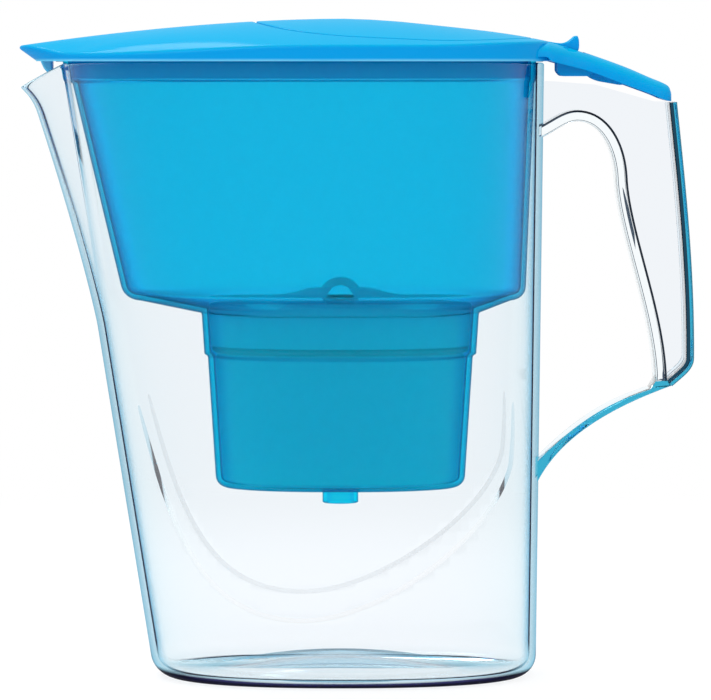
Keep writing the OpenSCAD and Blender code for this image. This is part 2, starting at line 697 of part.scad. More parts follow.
module lid_shell() {
    boss = at_hinge([[-3.9, 1.6], [4.5, 1.6], [4.5, -2.2], [2.2, -3.2], [-2.2, -3.2], [-3.9, -2]]);
    cheek = [tpt(4.7, 5.4), tpt(4.7, -3.4), tpt(6.4, -5.2), tpt(17.2, -5.2), tpt(19, -3.9),
        tpt(19, 1.4)];
    rib = [tpt(16.4, 2.9), tpt(16.4, -5), tpt(20.5, -7), tpt(31.3, -8.8), tpt(34.7, -6.8),
        tpt(35.2, -4)];
    hook_x = -rim_front - 0.9;
    hook = [[hook_x, under_z + 1], [hook_x, rim_z - 4.1], [hook_x - 1.4, rim_z - 4.4],
        [hook_x - 3.2, rim_z - 2.4], [hook_x - 4.6, rim_z + 0.6], [hook_x - 4.6, under_z + 1]];
    socket = stub_r + pin_clear;
    color(lid_blue) difference() {
        union() {
            lid_dome();
            difference() {
                tail_solid();
                tail_hollow();
            }
            both_sides(slot_half, 4) upright(boss, 4);
            both_sides(slot_half, 2) upright(cheek, 2);
            upright(rib, 2);
            upright(hook, 8);
        }
        translate([hinge_x - 12, -slot_half, hinge_z - 12])
            cube([12 + fin_sweep, 2 * slot_half, 30]);
        translate([hinge_x, slot_half + stub_len + 0.3, hinge_z])
            rotate([90, 0, 0]) cylinder(r = socket, h = 2 * (slot_half + stub_len + 0.3));
    }
}

module flip_lid() {
    neck = at_hinge([[-12, 5.1], [-9, 4.8], [-4, 3.8], [0, 3.1], [2.3, 2.9], [4.5, 3.4],
        [6.3, fin_rise - 1.1], [7.5, fin_rise], [fin_tip, fin_rise - 0.1], [8.8, 4.2], [8.9, 2],
        [8.7, 0.3], [7, -1.4], [3.5, -2.6], [0, -3], [-2.6, -1.5], [-4.2, 0.6], [-9, 2.7],
        [-12, 3.3]]);
    middle = [flap_x, 0];
    color(lid_blue) {
        loft(concat(
            [[for (a = COLS) at_z(mix(flap_edge(a, 0), middle, 0.96), dome_z(flap_x, 0) - flap_wall)]],
            [for (t = [0.7, 0.4, 0.18, 0.05, 0])
                [for (a = COLS) on_dome(mix(flap_edge(a, 0), middle, t), flap_wall)]],
            [for (t = [0, 0.05, 0.18, 0.4, 0.7])
                [for (a = COLS) on_dome(mix(flap_edge(a, 0), middle, t), 0)]],
            [[for (a = COLS) at_z(mix(flap_edge(a, 0), middle, 0.96), dome_z(flap_x, 0))]]
        ));
        upright(neck, neck_wide);
        translate([hinge_x, neck_wide / 2 + stub_len, hinge_z])
            rotate([90, 0, 0]) cylinder(r = stub_r, h = neck_wide + 2 * stub_len);
    }
}

pitcher_body();
hopper();
lid_shell();
flip_lid();
cartridge_shell();
cartridge_cap();
rim_seal();
inlet_screen();
filter_media();
outlet_screen();
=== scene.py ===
import math

import bpy
import numpy as np
from mathutils import Matrix, Vector


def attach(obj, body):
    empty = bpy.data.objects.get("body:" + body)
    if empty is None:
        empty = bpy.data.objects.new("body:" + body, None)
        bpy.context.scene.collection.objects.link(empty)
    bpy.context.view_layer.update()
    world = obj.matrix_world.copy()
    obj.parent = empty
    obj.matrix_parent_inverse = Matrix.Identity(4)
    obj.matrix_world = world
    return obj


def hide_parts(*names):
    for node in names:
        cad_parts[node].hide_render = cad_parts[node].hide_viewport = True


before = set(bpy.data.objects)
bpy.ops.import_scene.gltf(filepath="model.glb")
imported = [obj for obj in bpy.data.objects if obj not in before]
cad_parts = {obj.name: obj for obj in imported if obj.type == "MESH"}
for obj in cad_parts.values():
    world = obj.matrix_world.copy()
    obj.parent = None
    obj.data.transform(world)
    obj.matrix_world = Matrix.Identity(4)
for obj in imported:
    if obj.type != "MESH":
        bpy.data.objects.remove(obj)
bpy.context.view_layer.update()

# Material numbers on the jug: its outside and inside, then on the handle the faces, the web's sides
# and the pale, tinted and dark sides of its strips (the dark ones are painted dark reflection lines),
# and last the beads (pale white, a painted highlight)
OUTSIDE, INSIDE, CLEAR, WEB, PALE, EDGE, DARK, BEAD = range(8)

# Lengths below are in millimetres and become metres when a mesh is made.
MM = 0.001

# ---- sizes, as in the CAD model ----
RIM_Z = 235.4
FRONT = (71.7, 108.9)
BACK = (75.2, 77.8)
HALF = (45.5, 50.0)
WALL = 2.5
FLOOR = 3.0
BASE_ROUND = 8.0
KICK_UP = 6.5
DOME = (50.0, 29.0)
SPOUT_SHARE = 0.34
SPOUT_REACH = 10.2
LIP_REACH = 3.5
SPOUT_DIP = 9.2
SPOUT_HEIGHT = 100.4
LIP_HEIGHT = 10.5
GRIP_WALL, GRIP_WIDE = 4.2, 22.0
SPINE_WALL, SPINE_WIDE = 3.0, 24.0
WEB_WALL = 2.6
BEAD_RISE, BEAD_WIDE = 0.4, 2.0
STRUT_WIDE = 18.0
HOPPER_WALL = 2.0
FLANGE = 1.2
COLLAR_DEPTH, COLLAR_STEP = 7.2, 2.4
HOPPER_DEPTH = 90.4
GAPS = (9.5, 3.4, 4.0)
HOPPER_ROUND = 5.0
FLOOR_FALL = 5.0
MOUTH = (53.0, 34.0)
FOOT, FOOT_ROUND = (47.5, 28.5), 4.0
HOUSING_DEPTH = 67.0
LEDGE_DROP, LEDGE_STEP = 15.5, 1.3
NOZZLE_D, NOZZLE_LEN = 13.7, 6.3
CUP_WALL, CUP_GAP = 1.5, 0.8
MOUND_RISE = 6.0
RING_R, RING_WIDE = 8.5, 5.0
LID_WALL = 2.0
SKIRT_OUT, SKIRT_LOW, SKIRT_RISE = 2.4, 0.5, 6.4
FRONT_FALL, REAR_RISE = 4.2, 1.5
CROWN = 10.3  # 0.1 under the CAD's, so that the finer mesh stays in the CAD's box
BEAK_REACH, BEAK_FOOT = 11.2, 5.0
PLUG_DEPTH = 6.0
FLAP_X, FLAP_FRONT, FLAP_BACK, FLAP_HALF = 22.0, 54.0, 51.0, 43.0
NECK_WIDE = 16.0
FIN_RISE = 5.8
HINGE_X, HINGE_Z = BACK[1] + 4.2, RIM_Z + 4.4
STUB_R, STUB_LEN, PIN_CLEAR = 1.5, 3.0, 0.05
REST_GAP, SLIDE_GAP, FLAP_GAP = 0.3, 0.5, 0.7
SQUARE = 2.3

SPOUT_FOOT = RIM_Z - SPOUT_HEIGHT
TIP_Z = RIM_Z - SPOUT_DIP
LIP_FOOT = TIP_Z - LIP_HEIGHT
COLLAR_Z = RIM_Z - COLLAR_DEPTH
CORNER_Z = RIM_Z - HOPPER_DEPTH
MOUTH_Z = CORNER_Z - FLOOR_FALL
HOUSING_Z = MOUTH_Z - HOUSING_DEPTH
LEDGE_Z = MOUTH_Z - LEDGE_DROP


# ---- numbers and curves ----
def mix(a, b, t):
    return a + (b - a) * t


def part_of(v, lo, hi):
    return np.clip((v - lo) / (hi - lo), 0, 1)


def ease(t):
    return t * t * (3 - 2 * t)


def spow(v, e):
    return np.sign(v) * np.abs(v) ** e


def steps(lo, hi, n):
    return list(np.linspace(lo, hi, n))


def quarter(n):
    """n points of a quarter turn, each as 1 - sin and 1 - cos: a rounding's two offsets."""
    return [(1 - math.sin(s), 1 - math.cos(s)) for s in steps(0, math.pi / 2, n)]


def bezier(p, n):
    p = [np.array(q, float) for q in p]
    return [
        (1 - t) ** 3 * p[0] + 3 * (1 - t) ** 2 * t * p[1] + 3 * (1 - t) * t * t * p[2] + t**3 * p[3]
        for t in np.linspace(0, 1, n + 1)
    ]


def beside(path, d):
    """A path moved sideways by d, to the left of its direction."""
    path = np.array(path, float)
    v = np.gradient(path, axis=0)
    u = v / np.linalg.norm(v, axis=1)[:, None]
    return path + d * np.stack([-u[:, 1], u[:, 0]], 1)


def through(points, n):
    """A smooth curve through points, n steps to each span."""
    p = np.array(points, float)
    ext = np.vstack([2 * p[0] - p[1], p, 2 * p[-1] - p[-2]])
    out = []
    for i in range(len(p) - 1):
        a, b, c, d = ext[i : i + 4]
        for t in np.arange(n) / n:
            bend = (2 * a - 5 * b + 4 * c - d) * t * t + (3 * b - a - 3 * c + d) * t**3
            out.append(0.5 * (2 * b + (c - a) * t + bend))
    return np.array(out + [p[-1]])


# ---- meshes ----
def new_object(name, verts, faces, slots=None):
    me = bpy.data.meshes.new(name)
    me.from_pydata([tuple(v) for v in np.asarray(verts) * MM], [], faces)
    if slots is not None:
        me.polygons.foreach_set("material_index", slots)
    me.validate()
    obj = bpy.data.objects.new(name, me)
    bpy.context.scene.collection.objects.link(obj)
    return obj


def signed_volume(verts, faces):
    v = np.asarray(verts)
    total = 0.0
    for f in faces:
        for i in range(1, len(f) - 1):
            total += np.dot(v[f[0]], np.cross(v[f[i]], v[f[i + 1]]))
    return total


def skin(name, rings, closed=False, slots=None):
    """A closed skin over rings with equal numbers of points. slots has a material number for each
    band of faces."""
    n, m = len(rings[0]), len(rings)
    verts = np.vstack(rings)
    faces, mats = [], []
    for j in range(m if closed else m - 1):
        k = (j + 1) % m
        for i in range(n):
            h = (i + 1) % n
            faces.append((j * n + i, j * n + h, k * n + h, k * n + i))
            mats.append(slots[j] if slots else 0)
    if not closed:
        faces += [tuple(range(n - 1, -1, -1)), tuple((m - 1) * n + i for i in range(n))]
        mats += [mats[0], mats[-1]]
    if signed_volume(verts, faces) < 0:
        faces = [f[::-1] for f in faces]
    return new_object(name, verts, faces, mats)


def inset_outline(points, d):
    """A closed outline moved inwards by d, corners mitred. It turns counterclockwise."""
    p = np.asarray(points, float)
    e = np.roll(p, -1, 0) - p
    e /= np.linalg.norm(e, axis=1)[:, None]
    nrm = np.stack([-e[:, 1], e[:, 0]], 1)
    before = np.roll(nrm, 1, 0)
    m = nrm + before
    m /= np.maximum((m * nrm).sum(1), 0.35)[:, None]
    return p + d * m


def upright(name, points, wide, r=0.0, n=5, face=0, side=None):
    """An outline in the XZ plane made into a slab across Y, its two rims rounded by r.
    face and side are the material numbers of its rim and of its two flat sides."""
    p = np.asarray(points, float)
    area = 0.5 * np.sum(p[:, 0] * np.roll(p[:, 1], -1) - np.roll(p[:, 0], -1) * p[:, 1])
    if area < 0:
        p = p[::-1]
    rows = [(wide / 2, 0.0)]
    if r > 0:
        rows = [(wide / 2 - r * u, r * v) for u, v in quarter(n + 1)]
    levels = [(-y, i) for y, i in reversed(rows)] + rows
    rings = []
    for y, i in levels:
        q = inset_outline(p, i) if i > 0 else p
        rings.append(np.stack([q[:, 0], np.full(len(q), y), q[:, 1]], 1))
    side = face if side is None else side
    # A band near either end, past most of its rounding, counts as part of the flat side
    near_side = wide - r * 1.2
    slots = [side if abs(a[0] + b[0]) > near_side else face for a, b in zip(levels, levels[1:])]
    obj = skin(name, rings, slots=slots)
    for poly in list(obj.data.polygons)[-2:]:
        poly.material_index = side
    return obj


def rod(name, r, y0, y1, x, z, n=40):
    a = np.linspace(0, 2 * math.pi, n, endpoint=False)
    edge = 0.3
    rows = [(y0, r - edge), (y0 + edge, r), (y1 - edge, r), (y1, r - edge)]
    c, s = np.cos(a), np.sin(a)
    return skin(name, [np.stack([x + q * c, np.full(n, y), z + q * s], 1) for y, q in rows])


def block(name, lo, hi):
    x0, y0, z0 = lo
    x1, y1, z1 = hi
    base = np.array([[x0, y0], [x1, y0], [x1, y1], [x0, y1]])
    return skin(name, [np.column_stack([base, np.full(4, z)]) for z in (z0, z1)])


def combine(obj, tool, operation="UNION"):
    """Adds tool to obj, or cuts it away, and removes tool."""
    if len(tool.data.materials) < len(obj.data.materials):
        for m in list(obj.data.materials)[len(tool.data.materials):]:
            tool.data.materials.append(m)
    mod = obj.modifiers.new("combine", "BOOLEAN")
    mod.operation, mod.object, mod.solver = operation, tool, "MANIFOLD"
    graph = bpy.context.evaluated_depsgraph_get()
    me = bpy.data.meshes.new_from_object(obj.evaluated_get(graph))
    obj.modifiers.clear()
    if len(me.polygons) == 0:
        raise RuntimeError(f"{obj.name}: the {operation} with {tool.name} left nothing")
    obj.data = me
    bpy.data.objects.remove(tool)
    return obj


def finish_mesh(obj, body, nodes, materials, angle=38):
    me = obj.data
    while len(me.materials) < len(materials):
        me.materials.append(None)
    for i, m in enumerate(materials):
        me.materials[i] = m
    me.shade_smooth()
    me.set_sharp_from_angle(angle=math.radians(angle))
    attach(obj, body)
    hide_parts(*nodes)
    return obj


# ---- the oval plan ----
SPOUT_ANGLE = math.asin(SPOUT_SHARE ** (SQUARE / 2))


def columns(rear, side, front):
    pi = math.pi
    return np.concatenate([
        np.linspace(-pi / 2, pi / 2, rear, endpoint=False),
        np.linspace(pi / 2, pi - SPOUT_ANGLE, side, endpoint=False),
        np.linspace(pi - SPOUT_ANGLE, pi + SPOUT_ANGLE, front, endpoint=False),
        np.linspace(pi + SPOUT_ANGLE, 1.5 * pi, side, endpoint=False),
    ])


COLS = columns(84, 46, 44)
FEW = np.linspace(0, 2 * math.pi, 96, endpoint=False)


def oval(a, front, back, half):
    """The plan's outline at the angles a: a squarish oval, longer in front."""
    c, s = np.cos(a), np.sin(a)
    reach = np.where(c < 0, front, back)
    return np.stack([reach * spow(c, 2 / SQUARE), half * spow(s, 2 / SQUARE)], -1)


def at_z(p, z):
    return np.column_stack([p, np.broadcast_to(z, (len(p),))])


def ring(front, back, half, z, cols=COLS):
    return at_z(oval(cols, front, back, half), z)


# ---- jug ----
def size_at(pair, z):
    return mix(pair[0], pair[1], z / RIM_Z)


def spout_share_at(a):
    u = np.where(np.cos(a) < 0, np.abs(np.sin(a)) ** (2 / SQUARE) / SPOUT_SHARE, 1)
    return np.where(u < 1, np.cos(np.pi / 2 * np.minimum(u, 1)), 0)


def spout_depth(z):
    return (
        SPOUT_REACH * part_of(z, SPOUT_FOOT, TIP_Z) ** 1.25
        + LIP_REACH * part_of(z, LIP_FOOT, TIP_Z) ** 2.5
    )


def jug_ring(z, inset):
    p = oval(COLS, size_at(FRONT, z) - inset, size_at(BACK, z) - inset, size_at(HALF, z) - inset)
    share = spout_share_at(COLS)
    fall = SPOUT_DIP * part_of(z, SPOUT_FOOT, RIM_Z) ** 2
    return np.column_stack([p[:, 0] - spout_depth(z - fall) * share, p[:, 1], z - fall * share])


def dome_ring(t, z):
    return ring(DOME[0] * t, DOME[0] * t, DOME[1] * t, z + KICK_UP * (1 - t * t))


def jug_shell():
    rim_r = 1.0
    turn = quarter(11)
    dome = (0.03, 0.15, 0.3, 0.45, 0.6, 0.75, 0.88, 0.96, 1)
    walls = steps(BASE_ROUND + 2, SPOUT_FOOT, 26)[:-1] + steps(SPOUT_FOOT, RIM_Z - rim_r - 0.4, 44)
    rings, slots = [], []

    def add(r, slot):
        rings.append(r)
        slots.append(slot)

    for t in dome:
        add(dome_ring(t, 0), OUTSIDE)
    for u, v in turn:
        add(jug_ring(BASE_ROUND * v, BASE_ROUND * u), OUTSIDE)
    for z in walls:
        add(jug_ring(z, 0), OUTSIDE)
    for s in steps(0, math.pi, 13):
        z = RIM_Z - rim_r + rim_r * math.sin(s)
        add(jug_ring(z, WALL / 2 * (1 - math.cos(s))), OUTSIDE if s < 2 else INSIDE)
    for z in walls[::-1]:
        add(jug_ring(z, WALL), INSIDE)
    inner = BASE_ROUND - WALL
    for u, v in turn[::-1]:
        add(jug_ring(FLOOR + inner * v, WALL + inner * u), INSIDE)
    for t in dome[::-1]:
        add(dome_ring(t, FLOOR), INSIDE)
    return skin("jug", rings, slots=slots)


def hpt(hx, hz):
    """A point of the handle, from the rim's rear corner."""
    return (BACK[1] + hx, RIM_Z + hz)


def root(hz):
    """A point of the handle in the jug's rear wall."""
    return (size_at(BACK, RIM_Z + hz) - WALL * 0.8, RIM_Z + hz)


def walled(path):
    """The path with no point nearer the inside than the rear wall."""
    return [(max(p[0], size_at(BACK, p[1]) - WALL * 0.8), p[1]) for p in path]


def bead_mesh(side):
    """The curved bead on one side of the jug."""
    pts = [(x * (FRONT[0] if x < 0 else BACK[0]), z * RIM_Z) for x, z in (
        (-1.075, 0.466), (-0.9, 0.263), (-0.75, 0.115), (-0.21, 0.113), (0.21, 0.113),
        (0.78, 0.25), (0.857, 0.357), (0.87, 0.395), (0.87, 0.425), (0.865, 0.467))]
    line = np.array(bezier(pts[:4], 60) + bezier(pts[3:7], 48)[1:] + bezier(pts[6:], 12)[1:])
    n = len(line) - 1
    rows = [(beside(line, BEAD_WIDE / 2 * t), t) for t in np.linspace(-1, 1, 9)]

    def on_side(p, out):
        reach = np.where(p[:, 0] < 0, size_at(FRONT, p[:, 1]), size_at(BACK, p[:, 1]))
        y = size_at(HALF, p[:, 1]) * (1 - np.abs(p[:, 0] / reach) ** SQUARE) ** (1 / SQUARE)
        return np.column_stack([p[:, 0], side * (y + out), p[:, 1]])

    swell = BEAD_RISE * np.minimum(1, np.minimum(np.arange(n + 1), n - np.arange(n + 1)) * 8 / n)
    sheets = [on_side(rows[0][0], -WALL / 2)]
    sheets += [on_side(p, swell * math.cos(math.pi / 2 * t) ** 1.5 - 0.04) for p, t in rows]
    sheets += [on_side(rows[-1][0], -WALL / 2)]
    rings = [np.array([sheet[i] for sheet in sheets]) for i in range(n + 1)]
    return skin("bead", rings, slots=[BEAD] * (n + 1))


def handle_pieces():
    hole = (
        bezier([root(-28.9), hpt(3.2, -26.9), hpt(7.7, -22.4), hpt(12.2, -22.3)], 16)
        + bezier([hpt(12.2, -22.3), hpt(21.2, -22.2), hpt(26.5, -32.4), hpt(27.2, -43.4)], 20)[1:]
        + bezier([hpt(27.2, -43.4), hpt(28.1, -64.4), hpt(42, -95.4), hpt(42.6, -121.4)], 26)[1:]
    )
    strut_top = [hpt(42.2, -123.6)] + bezier(
        [hpt(40.6, -124.6), hpt(25, -129.4), hpt(13, -136.4), root(-153.4)], 22)
    spine = bezier([hpt(50.1, -14.9), hpt(52.7, -39.4), hpt(57.2, -75.4), hpt(57.1, -112.4)], 30)
    heel = bezier([hpt(57.1, -112.4), hpt(57.1, -116.9), hpt(53, -119.4), hpt(48.8, -123.2)], 12)
    strut_low = bezier([hpt(48.8, -123.2), hpt(26, -131.4), hpt(4.2, -143.4), root(-163.4)], 26)
    top = [root(-6.9), hpt(4, -7.2), hpt(19.5, -8.4), hpt(42, -14.8)]
    back = spine + heel[1:]

    def strip(name, path, near, far, wide, r, side):
        """The part of a strip along path that lies between two distances beside it."""
        first = list(beside(path, near)) if near else list(path)
        outline = walled(first) + list(reversed(walled(beside(path, far))))
        return upright(name, outline, wide, r, face=CLEAR, side=side)

    web = top + back + strut_low[1:] + list(reversed(hole + strut_top))
    strut = strut_top[1:] + strut_low[::-1] + [heel[8], hole[-1]]
    return [
        upright("web", web, WEB_WALL, face=CLEAR, side=WEB),
        strip("grip", hole, 0, GRIP_WALL, GRIP_WIDE, 1.0, PALE),
        # The grip and spine lines are strips with near-black sides: painted dark reflection lines
        strip("grip_line", hole, GRIP_WALL - 0.8, GRIP_WALL + 0.05, GRIP_WIDE + 0.1, 0.0, DARK),
        strip("spine", back, 0, -SPINE_WALL, SPINE_WIDE, 0.6, EDGE),
        strip("spine_line", back, -1.5, -SPINE_WALL - 0.05, SPINE_WIDE + 0.1, 0.0, DARK),
        upright("strut", strut, STRUT_WIDE, 0.4, 3, face=CLEAR, side=EDGE),
    ]


# ---- hopper ----
def hop_ring(z, inset):
    def reach(pair, low, step):
        out = size_at(pair, z) - WALL - SLIDE_GAP
        if z < COLLAR_Z - 0.01:
            out -= step + (low - step - SLIDE_GAP) * (COLLAR_Z - z) / (COLLAR_Z - CORNER_Z)
        return out - inset

    return ring(
        reach(FRONT, GAPS[0], COLLAR_STEP), reach(BACK, GAPS[1], COLLAR_STEP / 4),
        reach(HALF, GAPS[2], COLLAR_STEP / 3), z)


def house_long(z):
    return mix(FOOT[0], MOUTH[0] - LEDGE_STEP, part_of(z, HOUSING_Z, MOUTH_Z))


def house_wide(z):
    return mix(FOOT[1], MOUTH[1] - LEDGE_STEP, part_of(z, HOUSING_Z, MOUTH_Z))


def house_ring(long, wide, z):
    return ring(long, long, wide, z)


def blend_rings(a, b, n):
    """Rings that lead from a to b in an S, without the two ends."""
    return [mix(a, b, np.array([ease(t), ease(t), t])) for t in np.linspace(0, 1, n + 2)[1:-1]]


def hopper_wall_rings(inset):
    """The hopper's wall from its collar down to its lower edge."""
    collar = [hop_ring(z, inset) for z in steps(RIM_Z + REST_GAP, COLLAR_Z + 0.9, 5)]
    wall = [hop_ring(z, inset) for z in steps(COLLAR_Z - 0.9, CORNER_Z + HOPPER_ROUND, 26)]
    return collar + blend_rings(collar[-1], wall[0], 5) + wall


def hopper_mesh():
    w, r, foot_r = HOPPER_WALL, HOPPER_ROUND, FOOT_ROUND
    bore = NOZZLE_D / 2 - w
    nozzle_r, nozzle_low = NOZZLE_D / 2, HOUSING_Z - NOZZLE_LEN
    nozzle_rim, nozzle_turn = 0.4, 0.8
    step_r, rim_edge = 0.5, 0.3
    turn = quarter(7)
    house = steps(HOUSING_Z + 4, LEDGE_Z - 1.4, 14)
    top = RIM_Z + REST_GAP + FLANGE
    rim = np.array((FRONT[1], BACK[1], HALF[1])) - rim_edge

    def nozzle_ring(radius, z):
        return house_ring(radius, radius, z)

    def mouth_ring(inset, z):
        return house_ring(MOUTH[0] - inset, MOUTH[1] - inset, z)

    def step_ring(inset, t):
        return mouth_ring(inset, mix(MOUTH_Z, LEDGE_Z, t))

    # The outside, from the nozzle's mouth up to the flange
    rings = [nozzle_ring(bore, nozzle_low + nozzle_rim)]
    rings += [nozzle_ring(bore + w / 2 * (1 - math.cos(s)), nozzle_low + nozzle_rim * (1 - math.sin(s)))
              for s in steps(0.4, math.pi - 0.4, 5)]
    rings += [nozzle_ring(nozzle_r, z)
              for z in (nozzle_low + 0.5, mix(nozzle_low, HOUSING_Z, 0.5), HOUSING_Z - nozzle_turn)]
    rings += [nozzle_ring(nozzle_r + nozzle_turn * (1 - math.cos(s)),
                          HOUSING_Z - nozzle_turn * (1 - math.sin(s)))
              for s in steps(0.4, math.pi / 2, 4)]
    for u, v in turn:
        z = HOUSING_Z + foot_r * v
        rings.append(house_ring(house_long(z) - foot_r * u, house_wide(z) - foot_r * u, z))
    rings += [house_ring(house_long(z), house_wide(z), z) for z in house[1:]]
    rings += [mouth_ring(1 + step_r * u, LEDGE_Z - step_r * (1 - v)) for u, v in quarter(5)]
    rings += [step_ring(t, t) for t in (0.75, 0.5, 0.25, 0.06)]
    rings.append(mouth_ring(-0.3, MOUTH_Z + 0.1))
    edge = [hop_ring(CORNER_Z + r * v, r * u) for u, v in turn]
    rings += [mix(mouth_ring(0, MOUTH_Z), edge[0], t) for t in (0.2, 0.5, 0.8)]
    rings += edge
    rings += hopper_wall_rings(0)[::-1][1:]
    low = RIM_Z + REST_GAP
    rings += [ring(*(rim - i), z) for i, z in
              ((0.2, low), (0, low + 0.2), (0, top - 0.35), (0.1, top - 0.1), (0.35, top))]
    lip = hop_ring(RIM_Z, w)
    lip[:, 2] = top
    rings.append(lip)
    # The inside, down to the nozzle's bore
    rings += hopper_wall_rings(w)
    in_r = r - w
    in_edge = [hop_ring(CORNER_Z + w + in_r * v, w + in_r * u) for u, v in turn[::-1]]
    rings += in_edge[1:]
    low = mouth_ring(w, MOUTH_Z + w * 0.8)
    rings += [mix(in_edge[-1], low, t) for t in (0.25, 0.6, 0.97)] + [low]
    rings += [step_ring(t + w, t) for t in (0.1, 0.5, 1)]
    rings += [house_ring(house_long(z) - w, house_wide(z) - w, z) for z in house[::-1]]
    in_foot = foot_r - w
    for u, v in turn[::-1]:
        z = HOUSING_Z + w + in_foot * v
        if z < house[0] - 0.1:
            inset = in_foot * u + w
            rings.append(house_ring(house_long(z) - inset, house_wide(z) - inset, z))
    rings.append(nozzle_ring(bore, HOUSING_Z + w))
    return skin("reservoir", rings, closed=True)


# ---- cartridge ----
HEAD = (MOUTH[0] - HOPPER_WALL - CUP_GAP, MOUTH[1] - HOPPER_WALL - CUP_GAP)
NECK_INSET = 1.2
CUP_Z = HOUSING_Z + HOPPER_WALL + REST_GAP
CAP_Z = MOUTH_Z
SEAL_Z, SEAL_HIGH = LEDGE_Z + 0.4, 2.4


def small_ring(long, wide, z):
    return ring(long, long, wide, z, FEW)


def head_ring(z, inset):
    i = inset + (MOUTH_Z - min(z, MOUTH_Z)) / LEDGE_DROP
    return small_ring(HEAD[0] - i, HEAD[1] - i, z)


def cup_ring(z, inset):
    i = HOPPER_WALL + CUP_GAP + inset
    return small_ring(house_long(z) - i, house_wide(z) - i, z)


def cartridge_cup():
    w = CUP_WALL
    over = SEAL_Z + SEAL_HIGH
    rings = [cup_ring(CUP_Z, 1.5), cup_ring(CUP_Z + 0.5, 0.4), cup_ring(CUP_Z + 1.5, 0)]
    rings += [cup_ring(z, 0) for z in steps(CUP_Z + 4, SEAL_Z - 2.2, 10)]
    rings += [cup_ring(SEAL_Z - 0.6, NECK_INSET), cup_ring(over, NECK_INSET), head_ring(over + 0.2, 0)]
    rings += [head_ring(z, 0) for z in steps(over + 1, CAP_Z - REST_GAP, 5)]
    rings += [head_ring(CAP_Z - REST_GAP, w), head_ring(over + w, w), cup_ring(over, NECK_INSET + w)]
    rings += [cup_ring(SEAL_Z - 0.6, NECK_INSET + w)]
    rings += [cup_ring(z, NECK_INSET / 2 + w) for z in (mix(CUP_Z, SEAL_Z, 0.5), CUP_Z + w)]
    cup = skin("cartridge_cup", rings)
    for x in (-24, -8, 8, 24):
        for y in (-12, 0, 12):
            slot = block("slot", (x - 6, y - 1, CUP_Z - 1), (x + 6, y + 1, CUP_Z + w + 1))
            combine(cup, slot, "DIFFERENCE")
    return cup


def cartridge_top():
    w = CUP_WALL
    top = CAP_Z + 3.4
    peak = top + MOUND_RISE
    ring_z = peak - 4.4
    tunnel = RING_R - 3.1
    # Half length, half width and share of the mound's rise, on top and below
    mound = [(9, 8, 1), (12.4, 10.3, 0.95), (15.5, 12.5, 0.82), (19, 14.9, 0.62), (22.5, 17, 0.42),
             (26, 19.2, 0.18), (29, 21, 0)]
    under = [(8, 7, 1), (14.3, 11.5, 0.82), (21, 15.7, 0.42), (27.5, 19.5, 0)]
    rings = [small_ring(l, b, top + MOUND_RISE * t - w) for l, b, t in under]
    rings += [small_ring(HEAD[0] - i, HEAD[1] - i, z) for i, z in (
        (3, top - w), (3, CAP_Z), (0.4, CAP_Z), (0.1, CAP_Z + 0.25), (0, CAP_Z + 0.6),
        (0, top - 0.8), (0.25, top - 0.25), (0.8, top))]
    rings += [small_ring(l, b, top + MOUND_RISE * t) for l, b, t in mound[::-1]]
    cap = skin("cartridge_top", rings)
    a = np.linspace(0, 2 * math.pi, 64, endpoint=False)
    disc = np.stack([RING_R * np.cos(a), np.maximum(ring_z + RING_R * np.sin(a), top - w)], 1)
    combine(cap, upright("pull", disc, RING_WIDE, 0.8))
    wall_top = top - w + MOUND_RISE * 0.5
    combine(cap, block("tunnel_walls", (-tunnel - w, -13, top - w), (tunnel + w, 13, wall_top)))
    combine(cap, rod("tunnel", tunnel, -20, 20, 0, ring_z), "DIFFERENCE")
    combine(cap, block("way", (-tunnel, -20, top + 0.3), (tunnel, 20, ring_z)), "DIFFERENCE")
    for x in (-1, 1):
        for i in range(5):
            c = x * (34.5 + (4 - abs(i - 2)) * 1.2)
            y = (i - 2) * 6.4
            inlet = block("inlet", (c - 3.5, y - 0.9, CAP_Z - 1), (c + 3.5, y + 0.9, CAP_Z + 5))
            combine(cap, inlet, "DIFFERENCE")
    return cap


def seal_mesh():
    over = SEAL_Z + SEAL_HIGH
    low = cup_ring(over, NECK_INSET - 0.15)
    low[:, 2] = SEAL_Z
    bulge = ((SEAL_Z, 1), (SEAL_Z + 0.5, 0.45), (SEAL_Z + SEAL_HIGH / 2, 0.1), (over - 0.5, 0.45),
             (over, 1))
    rings = [low] + [head_ring(z, i) for z, i in bulge] + [cup_ring(over, NECK_INSET - 0.15)]
    return skin("seal_ring", rings, closed=True)


# ---- lid ----
LID = (FRONT[1] + SKIRT_OUT, BACK[1] + SKIRT_OUT, HALF[1] + SKIRT_OUT)
SKIRT_Z = RIM_Z + SKIRT_RISE
UNDER_Z = RIM_Z + 2 * REST_GAP + FLANGE
RECESS = LID_WALL + REST_GAP
PLUG_LOW = RIM_Z - PLUG_DEPTH


def dome_z(x, y):
    front = np.where(x < 0, LID[0], LID[1])
    nose = np.where(x < 0, LID[0] + BEAK_REACH, LID[1])
    side = np.abs(y / LID[2]) ** SQUARE
    q = (np.abs(x / nose) ** SQUARE + side) ** (1 / SQUARE)
    rim = (np.abs(x / front) ** SQUARE + side) ** (1 / SQUARE)
    return (
        SKIRT_Z
        + CROWN * (1 - q**1.75)
        + REAR_RISE * ease(part_of(x, 0.38 * LID[1], LID[1]))
        - FRONT_FALL * ease(part_of(-x, 0.09 * LID[0], 0.9 * LID[0]))
        * ease(part_of(np.abs(y), 0.1 * LID[2], 0.48 * LID[2])) * np.minimum(rim, 1) ** 8
    )


def beak_share(a):
    u = np.where(np.cos(a) < 0, np.abs(np.sin(a)) ** (2 / SQUARE) * 2, 1)
    return np.where(u < 1, np.cos(np.pi / 2 * np.minimum(u, 1)) ** 2, 0)


def lid_edge(inset, beak):
    p = oval(COLS, LID[0] - inset, LID[1] - inset, LID[2] - inset)
    p[:, 0] -= beak * beak_share(COLS)
    return p


